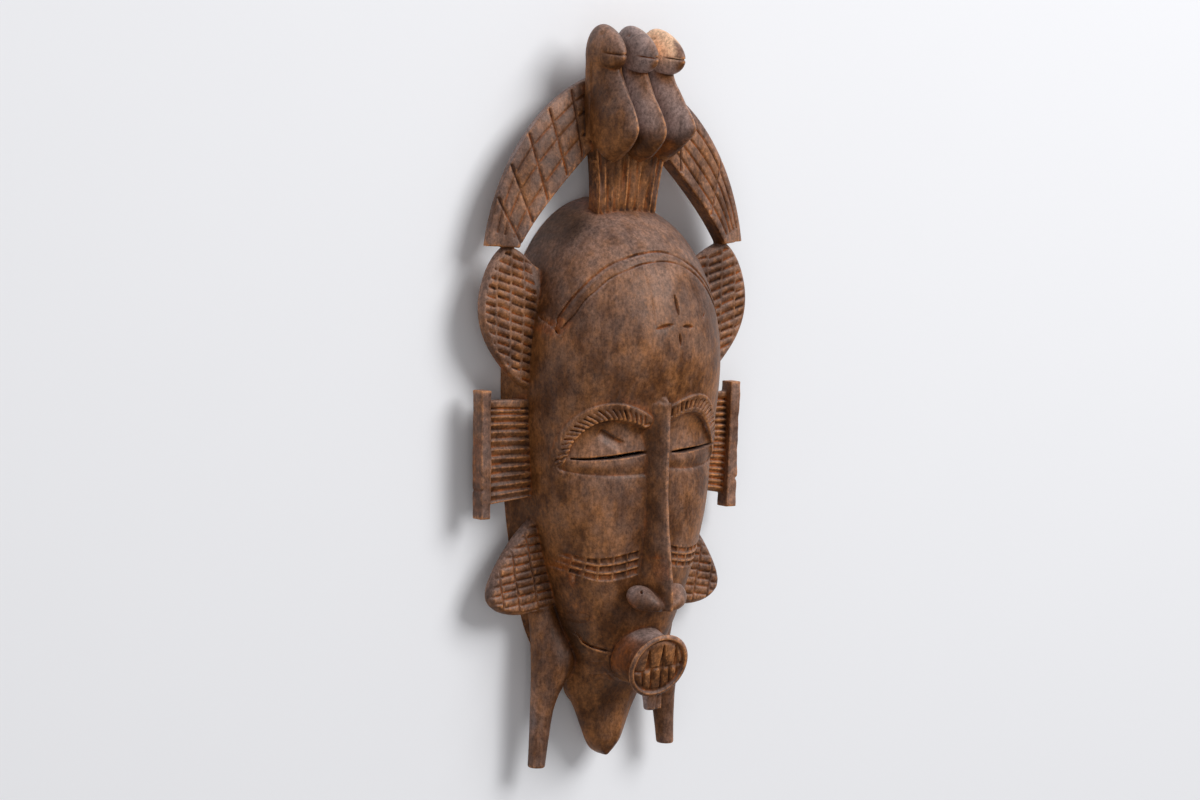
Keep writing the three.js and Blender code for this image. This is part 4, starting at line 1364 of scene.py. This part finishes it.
@dataclass(frozen=True)
class Face:
    """The head with everything that is cut into it or stands on it."""

    head: Head = Head()
    marks: FaceMarks = FaceMarks()
    nose: Nose = Nose()
    mouth: Mouth = Mouth()
    eyes: tuple[Eye, ...] = (
        Eye(
            Side.LEFT,
            Brow(
                Side.LEFT,
                ((-55.4, -37.5), (-55.6, -30.7), (-55.2, -25.2), (-53.6, -16.3), (-49.8, -8.3),
                 (-44.2, -3), (-36.6, -0.1), (-28.9, 0.2), (-20.2, -1.8), (-14.6, -4),
                 (-11.5, -5.6)),
                ((0, 4.2), (0.3, 4.8), (0.7, 5.2), (1, 3.9)), 0.75),
            ((-50.2, -28.4), (-41.6, -28.3), (-36.4, -27.7), (-30.8, -27.3), (-24.9, -26.6),
             (-18.6, -25.8), (-11.9, -24.9), (-7.8, -24.7)),
            ((7.8, 0.6), (14, 1.25), (24, 1.25), (38, 0.85), (50, 0.45)),
            ((-54, -34.6), (-45, -36.5), (-32.2, -37.4), (-18, -37.3), (-7, -36.6))),
        Eye(
            Side.RIGHT,
            Brow(
                Side.RIGHT,
                ((52, -35), (51.5, -29), (49.5, -21.5), (46, -14.5), (42.1, -8.8),
                 (37.8, -3.4), (32.3, 1), (27, 3.3), (21.3, 3.9), (15, 2.9), (9.2, 0.7),
                 (3.8, -1.2)),
                ((0, 3.8), (0.4, 4.8), (0.66, 6), (0.85, 5), (1, 4.4)), 0.25, (-2.6, 3), 22),
            ((10.6, -25.1), (17.4, -24.8), (25.6, -24.3), (35.1, -23.5), (43.7, -22.8),
             (50, -22)),
            ((10.6, 0.4), (17, 1.05), (26, 1.2), (35, 0.9), (50, 0.4)),
            ((8.6, -33.8), (22.1, -34.9), (32.4, -34.6), (41.4, -33.7), (52, -32.2)), 58),
    )
    cheeks: tuple[CheekBand, ...] = (
        CheekBand(
            ((-50, -82.6), (-47.2, -84.1), (-34, -86.8), (-9.1, -82.1)),
            ((-49, -94.6), (-43.6, -97.2), (-30.6, -101.3), (-8.6, -97.1)),
            (-49, -44.6, -39.3, -33.1, -25.5, -17.5, -9.8)),
        CheekBand(
            ((12.4, -80.3), (24, -82.4), (36.5, -82.1), (46, -80)),
            ((12.4, -93.6), (27.6, -95.5), (38, -95.5), (44, -93.5)),
            (11.6, 19, 26.8, 34, 39.6, 43.6, 46.2)),
    )

    def _raised(self, skin: Skin) -> Array:
        """All the low relief of the face."""
        return sum(part.relief(skin) for part in (self.marks, *self.eyes, *self.cheeks))

    def build(self, block: Block) -> None:
        """Adds the head, the nose and the mouth."""
        self.head.build(block, self._raised)
        self.nose.build(block, self.head)
        self.mouth.build(block)

    def open_back(self, block: Block) -> None:
        """Hollows the back and opens the eye slits into it."""
        self.head.hollow(block)
        for eye in self.eyes:
            eye.open_slit(block)


@dataclass(frozen=True)
class Ornaments:
    """The loops, panels and tabs at both sides of the head."""

    pieces: tuple[HairLoop | EarPanel | LowerTab, ...] = (
        HairLoop(Side.LEFT), HairLoop(Side.RIGHT),
        EarPanel(Side.LEFT, ((4.2, -0.8), (6.6, 0), (10.2, 1), (14.7, 2), (19.2, 3), (60, 11))),
        EarPanel(Side.RIGHT, ((3, 0), (4.8, 0.5), (62.4, 16.5))),
        LowerTab(Side.LEFT), LowerTab(Side.RIGHT, reach=0.955))

    def build(self, block: Block) -> None:
        """Adds them all."""
        for piece in self.pieces:
            piece.build(block)


@dataclass(frozen=True)
class Crest:
    """The wings, the pedestal and the three birds on the crown."""

    wings: tuple[Wing, ...] = (
        Wing(Side.LEFT),
        Wing(
            Side.RIGHT, long_lines=(0.2, 0.42, 0.62, 0.82), long_depth=1.35,
            crossings=((0.22, 0.34), (0.62, 0.74))))
    pedestal: Pedestal = Pedestal()
    birds: tuple[Bird, ...] = (
        Bird(
            -18.8,
            ((145.2, 46), (147.1, 49), (149.9, 53), (152.8, 58.5), (156.5, 63.5), (160.9, 67.7),
             (165, 69.5), (167.9, 68.8), (171.9, 67.2), (176.5, 64.4), (182.2, 60.2),
             (187.8, 55.9), (193.5, 51.6), (198, 48.5), (204, 47)),
            225.8, 55, -0.7, beak_up=207.8),
        Bird(
            0,
            ((145.2, 47), (146.5, 50), (148.5, 55.3), (151.7, 60.2), (155.4, 65.1), (159.1, 69),
             (162.7, 70.9), (166.2, 70.7), (169.7, 69.1), (173.6, 66.4), (177.6, 63.2),
             (182.1, 59), (187.8, 54.7), (193.6, 51), (198, 48), (204, 47)),
            225, 61),
        Bird(
            18.8,
            ((145.2, 45), (147.7, 47), (150.2, 51.5), (153.2, 58), (156.4, 63.1), (159.6, 69),
             (162.7, 72.9), (165.8, 74.8), (168.6, 73.6), (171.5, 71.5), (174.9, 68.4),
             (178.8, 64.2), (183.4, 60), (187.9, 55.7), (191.8, 51.5), (197, 48), (204, 47)),
            223.4, 61.8, beak_up=205.4))

    def build(self, block: Block) -> None:
        """Adds them all."""
        for piece in (*self.wings, self.pedestal, *self.birds):
            piece.build(block)


@dataclass(frozen=True)
class Feet:
    """The chin and the two legs under the jaw."""

    chin: Chin = Chin()
    legs: tuple[Leg, ...] = (
        Leg(Side.LEFT, -216.5, (37, 20, 14, 11.5)), Leg(Side.RIGHT, -208.3, (34, 20, 11.5, 11.5)))

    def build(self, block: Block) -> None:
        """Adds them all."""
        for piece in (*self.legs, self.chin):
            piece.build(block)


@dataclass
class Carving:
    """The mask as one carved piece of wood."""

    face: Face = field(default_factory=Face)
    ornaments: Ornaments = field(default_factory=Ornaments)
    crest: Crest = field(default_factory=Crest)
    feet: Feet = field(default_factory=Feet)
    tones: Tones = field(default_factory=Tones)
    block: Block = field(default_factory=Block)
    top: float = 87.96

    def build(self) -> bpy.types.Object:
        """Carves the block and makes its mesh.

        Returns:
            The carved piece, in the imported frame.
        """
        for part in (self.face, self.ornaments, self.crest, self.feet):
            part.build(self.block)
            log.info("carved %s", type(part).__name__.lower())
        self.face.open_back(self.block)
        floor = self.block.window(self.block.low, self.block.high)
        ends = np.minimum(floor.z, self.top - floor.z)
        self.block.cut(floor, ends + 0 * floor.x + 0 * floor.y, 0.0)
        piece = self._mesh()
        self._tone(piece)
        return piece

    def _mesh(self) -> bpy.types.Object:
        """Turns the block into a mesh of few enough triangles."""
        grid = openvdb.FloatGrid(FAR)
        grid.copyFromArray(self.block.gap, tolerance=0)
        points, triangles, quads = grid.convertToPolygons(isovalue=0.0, adaptivity=0.0)
        points = np.array(self.block.low) + self.block.pitch * points
        points = (points - (0, MIDDLE_UP, 0)) / 1000
        faces = [face[::-1] for face in (*quads.tolist(), *triangles.tolist())]
        mesh = bpy.data.meshes.new("carved_mask")
        mesh.from_pydata(points.tolist(), [], faces)
        piece = put("carved_mask", mesh)
        count = 2 * len(quads) + len(triangles)
        fewer = piece.modifiers.new("fewer", "DECIMATE")
        fewer.ratio = min(MOST_TRIANGLES / count, 1.0)
        graph = bpy.context.evaluated_depsgraph_get()
        finished = bpy.data.meshes.new_from_object(piece.evaluated_get(graph))
        piece.modifiers.clear()
        piece.data = finished
        bpy.data.meshes.remove(mesh)
        finished.shade_smooth()
        log.info("%d triangles became %d", count, len(finished.polygons))
        return piece

    def _tone(self, piece: bpy.types.Object) -> None:
        """Writes the tones onto the mesh."""
        mesh = piece.data
        flat = np.empty(3 * len(mesh.vertices), np.float32)
        mesh.vertices.foreach_get("co", flat)
        points = flat.reshape(-1, 3) * 1000.0 + (0, MIDDLE_UP, 0)
        mesh.vertices.foreach_get("normal", flat)
        for name, values in self.tones.paint(self.block, points, flat.reshape(-1, 3)).items():
            layer = mesh.attributes.new(name, "FLOAT", "POINT")
            layer.data.foreach_set("value", values.astype(np.float32))


# Finishes

Colour = tuple[float, float, float]


def linear(red: int, green: int, blue: int) -> Colour:
    """A colour given in screen values, as light."""
    shares = (red / 255, green / 255, blue / 255)
    return tuple(s / 12.92 if s < 0.04045 else ((s + 0.055) / 1.055) ** 2.4 for s in shares)


@dataclass(frozen=True)
class Value:
    """A number or a colour that varies over a surface."""

    graph: Graph
    socket: bpy.types.NodeSocket

    def __add__(self, other: Value | float) -> Value:
        """Adds."""
        return self.graph.sum("ADD", self, other)

    __radd__ = __add__

    def __sub__(self, other: Value | float) -> Value:
        """Takes away."""
        return self.graph.sum("SUBTRACT", self, other)

    def __rsub__(self, other: float) -> Value:
        """Takes this away from a number."""
        return self.graph.sum("SUBTRACT", other, self)

    def __mul__(self, other: Value | float) -> Value:
        """Multiplies."""
        return self.graph.sum("MULTIPLY", self, other)

    __rmul__ = __mul__

    def eased(self, low: float, high: float) -> Value:
        """Eases from 0 at low to 1 at high."""
        sockets = {"Value": self, "From Min": low, "From Max": high}
        settings = {"interpolation_type": "SMOOTHSTEP"}
        return self.graph.node("ShaderNodeMapRange", settings, sockets)["Result"]


@dataclass(frozen=True)
class Noise:
    """A cloudy pattern: its spots to the metre on each axis, its detail and its roughness."""

    scale: Place
    detail: float = 3.0
    rough: float = 0.55


@dataclass(frozen=True)
class Graph:
    """The nodes of one material."""

    tree: bpy.types.NodeTree

    def node(
        self, kind: str, settings: Mapping[str, Any], sockets: Mapping[str | int, Any]
    ) -> dict[str, Value]:
        """Adds a node.

        Args:
            kind: The node's type.
            settings: Its settings, which are set first.
            sockets: The value or link of each socket by name or number.

        Returns:
            Its outputs by name.
        """
        node = self.tree.nodes.new(kind)
        for name, setting in settings.items():
            setattr(node, name, setting)
        for name, value in sockets.items():
            socket = node.inputs[name]
            if isinstance(value, Value):
                self.tree.links.new(value.socket, socket)
            elif socket.type == "RGBA":
                socket.default_value = (*value, 1)
            else:
                socket.default_value = value
        return {out.name: Value(self, out) for out in node.outputs if out.enabled}

    def sum(self, operation: str, *values: Value | float) -> Value:
        """Adds a Math node."""
        sockets = dict(enumerate(values))
        return self.node("ShaderNodeMath", {"operation": operation}, sockets)["Value"]

    def tone(self, name: str) -> Value:
        """A tone that was written onto the mesh."""
        return self.node("ShaderNodeAttribute", {"attribute_name": name}, {})["Fac"]

    def place(self, scale: Place) -> Value:
        """The place on the object, stretched."""
        spot = self.node("ShaderNodeTexCoord", {}, {})["Object"]
        settings = {"operation": "MULTIPLY"}
        return self.node("ShaderNodeVectorMath", settings, {0: spot, 1: scale})["Vector"]

    def noise(self, noise: Noise) -> Value:
        """A cloudy pattern, from 0 to 1."""
        sockets = {
            "Vector": self.place(noise.scale), "Scale": 1.0, "Detail": noise.detail,
            "Roughness": noise.rough}
        return self.node("ShaderNodeTexNoise", {}, sockets)["Fac"]

    def blend(
        self, share: Value | float, a: Value | Colour, b: Value | Colour, kind: str = "MIX"
    ) -> Value:
        """A colour a share of the way from a to b."""
        settings = {"data_type": "RGBA", "blend_type": kind, "clamp_factor": True}
        return self.node("ShaderNodeMix", settings, {0: share, 6: a, 7: b})["Result"]


@dataclass(frozen=True)
class Finish:
    """What a surface is finished with."""

    name: str

    def make(self) -> bpy.types.Material:
        """Makes the material."""
        material = bpy.data.materials.new(self.name)
        material.use_nodes = True
        graph = Graph(material.node_tree)
        graph.tree.nodes.clear()
        coat = graph.node("ShaderNodeBsdfPrincipled", {}, self.coat(graph))["BSDF"]
        graph.node("ShaderNodeOutputMaterial", {}, {"Surface": coat})
        return material

    def coat(self, g: Graph) -> dict[str, Any]:
        """The value or link of each of the shader's sockets."""
        raise NotImplementedError


@dataclass(frozen=True)
class WaxedWood(Finish):
    """Old waxed wood of a deep brown, with a grey patina under a painted sheen where light falls,
    pale worn crests that also stand for a painted highlight, rusty hollows, and painted shade in
    hollows and sheltered places.
    """

    name: str = "waxed_wood"
    # Near-black brown for the bottoms of hollows, and for the painted shade in hollows and
    # sheltered places.
    deep: Colour = linear(44, 20, 7)
    # Dull brown, laid on in random clouds and as painted shade.
    dull: Colour = linear(62, 42, 28)
    brown: Colour = linear(86, 50, 22)
    warm: Colour = linear(121, 78, 43)
    rust: Colour = linear(136, 72, 24)
    # Greyish pink of a painted sheen on surfaces that face the light.
    sheen_mauve: Colour = linear(154, 134, 130)
    # Pale orange of worn crests, which also stands for a painted highlight along edges.
    edge: Colour = linear(180, 120, 72)
    # Pale wood of worn patches, also a painted highlight.
    bare_and_highlight: Colour = linear(234, 192, 158)
    grain: Noise = Noise((620, 36, 620), 3, 0.65)
    speck: Noise = Noise((520, 380, 520), 4, 0.8)
    patch: Noise = Noise((38, 24, 38))
    mottle: Noise = Noise((190, 120, 190), 4, 0.65)
    cloud: Noise = Noise((80, 50, 80), 4, 0.65)
    bump: float = 0.4
    bump_height: float = 0.0006
    shine: float = 0.2

    def coat(self, g: Graph) -> dict[str, Any]:
        """Blends the tones, from the broad ones to the fine.

        Args:
            g: The material's nodes.

        Returns:
            The value or link of each of the shader's sockets.
        """
        hollow, shelter, bare_and_highlight, bloom_and_sheen, rust, shade_and_cracks = map(g.tone, TONES)
        patterns = (self.grain, self.speck, self.patch, self.mottle, self.cloud)
        grain, speck, patch, mottle, cloud = map(g.noise, patterns)
        normal = g.node("ShaderNodeNewGeometry", {}, {})["Normal"]
        facing = g.node("ShaderNodeSeparateXYZ", {}, {"Vector": normal})
        colour = g.blend((patch * 0.7 + mottle * 0.4).eased(0.46, 0.66), self.brown, self.warm)
        colour = g.blend((rust + mottle * 0.7 - 0.3).eased(0.1, 0.75) * 0.8, colour, self.rust)
        # Painted sheen: surfaces facing up and out, and the patina-and-sheen spots, turn greyish
        # pink; sheltered places less so.
        lit = bloom_and_sheen * 0.8 + facing["Z"] * 0.12 + facing["Y"] * 0.32 + cloud * 0.7 - shelter * 0.6
        colour = g.blend(lit.eased(0.32, 1.3) * 0.9, colour, self.sheen_mauve)
        # Painted shade, with black cracks and random dull clouds, turns the colour dull brown; worn
        # patches are spared.
        shade = (shade_and_cracks * 0.6 + cloud * 1.3 - bare_and_highlight).eased(0.6, 1.15)
        colour = g.blend(shade * 0.75, colour, self.dull)
        # Worn patches, and the painted highlight on the right bird's head, turn pale.
        colour = g.blend((bare_and_highlight + mottle * 0.4 - 0.2).eased(0.05, 0.7), colour, self.bare_and_highlight)
        # Painted highlight and wear: crests and edges, the opposite of hollows, turn pale orange.
        crest = (mottle * 0.3 + speck * 0.3 - hollow).eased(0.42, 0.7)
        colour = g.blend(crest * 0.75, colour, self.edge)
        trough = (hollow + mottle * 0.1).eased(0.08, 0.36)
        bottom = g.blend(cloud.eased(0.42, 0.6), self.deep, self.rust)
        colour = g.blend(trough * 0.85, colour, bottom)
        # Painted shade: hollows and sheltered places between parts are darkened to near black.
        colour = g.blend((hollow + shelter * 0.6).eased(0.2, 0.46) * 0.8, colour, self.deep)
        tone = 0.44 + speck.eased(0.28, 0.72) * 0.86 + grain.eased(0.3, 0.7) * 0.2
        tone = tone * (0.8 + mottle.eased(0.34, 0.66) * 0.18 + patch.eased(0.36, 0.64) * 0.3)
        colour = g.blend(1.0, colour, tone, "MULTIPLY")
        rough = 0.34 + mottle * 0.16 + speck * 0.1 + trough * 0.25
        height = grain * 0.35 + speck * 0.5 + mottle * 0.8
        sockets = {"Strength": self.bump, "Distance": self.bump_height, "Height": height}
        return {
            "Base Color": colour, "Roughness": rough,
            "Normal": g.node("ShaderNodeBump", {}, sockets)["Normal"],
            "Specular IOR Level": self.shine}


@dataclass(frozen=True)
class PalePaint(Finish):
    """A plain pale matt floor."""

    name: str = "pale_floor"
    light: Colour = (0.82, 0.85, 0.91)
    shade: Colour = (0.74, 0.77, 0.83)
    cloud: Noise = Noise((9, 9, 9), 2)
    rough: float = 0.85

    def coat(self, g: Graph) -> dict[str, Any]:
        """The value or link of each of the shader's sockets."""
        tint = g.blend(g.noise(self.cloud) * 0.12, self.light, self.shade)
        return {"Base Color": tint, "Roughness": self.rough}


# Studio


@dataclass(frozen=True)
class Lamp:
    """A soft square lamp that looks at the mask."""

    name: str
    place: Place
    size: float
    power: float
    tint: Colour

    def build(self) -> None:
        """Hangs the lamp."""
        data = bpy.data.lights.new(self.name, "AREA")
        data.shape, data.size, data.energy, data.color = "SQUARE", self.size, self.power, self.tint
        lamp = put(self.name, data)
        lamp.location = self.place
        lamp.rotation_euler = (-Vector(self.place)).to_track_quat("-Z", "Y").to_euler()


@dataclass(frozen=True)
class Studio:
    """The pale floor, the soft lights and the camera."""

    turn: float = math.radians(35)
    lift: float = math.radians(5.25)
    roll: float = math.radians(1.33)
    distance: float = 3.0
    lens: float = 150.0
    sensor: float = 36.0
    sight: Point = (0.1, 30.0)
    aside: float = 0.00564
    floor_half: float = 4.0
    lamps: tuple[Lamp, ...] = (
        Lamp("key", (1.0, 1.55, 2.2), 1.6, 72.0, (1.0, 0.975, 0.94)),
        Lamp("fill", (-1.6, -0.4, 2.2), 1.8, 11.0, (1.0, 0.95, 0.9)))
    sky: Colour = (0.92, 0.89, 0.87)
    sky_strength: float = 0.33

    def build(self) -> None:
        """Sets everything up round the mask."""
        self._floor()
        self._camera()
        for lamp in self.lamps:
            lamp.build()
        world = bpy.data.worlds.new("studio")
        world.use_nodes = True
        sky = world.node_tree.nodes["Background"]
        sky.inputs["Color"].default_value = (*self.sky, 1)
        sky.inputs["Strength"].default_value = self.sky_strength
        scene = bpy.context.scene
        scene.world = world
        scene.view_settings.view_transform = "Standard"

    def _floor(self) -> None:
        """A plain floor under the mask."""
        half = self.floor_half
        mesh = bpy.data.meshes.new("floor")
        corners = [(-half, -half, 0), (half, -half, 0), (half, half, 0), (-half, half, 0)]
        mesh.from_pydata(corners, [], [(0, 1, 2, 3)])
        mesh.materials.append(PalePaint().make())
        put("floor", mesh)

    def _camera(self) -> None:
        """A long lens at the photograph's angle."""
        away = Vector((
            -math.sin(self.turn) * math.cos(self.lift), math.sin(self.lift),
            math.cos(self.turn) * math.cos(self.lift)))
        flat = (-away).cross(Vector((0, 1, 0))).normalized()
        raised = flat.cross(-away)
        right = math.cos(self.roll) * flat + math.sin(self.roll) * raised
        up = math.cos(self.roll) * raised - math.sin(self.roll) * flat
        data = bpy.data.cameras.new("camera")
        data.lens, data.sensor_width = self.lens, self.sensor
        data.clip_start, data.clip_end = self.sight
        camera = put("camera", data)
        aim = Matrix((right, up, away)).transposed().to_4x4()
        spot = self.distance * away + self.aside * right - Vector((0, MIDDLE_UP / 1000, 0))
        camera.matrix_world = Matrix.Translation(spot) @ aim
        bpy.context.scene.camera = camera


def main() -> None:
    """Builds the mask and the studio."""
    logging.basicConfig(level=logging.INFO, format="%(name)s: %(message)s")
    Studio().build()
    log.info("studio is set")
    piece = Carving().build()
    piece.data.materials.append(WaxedWood().make())
    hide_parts("mask")
    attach(piece, "root")
    log.info("%s is done", piece.name)


if __name__ == "__main__":
    main()
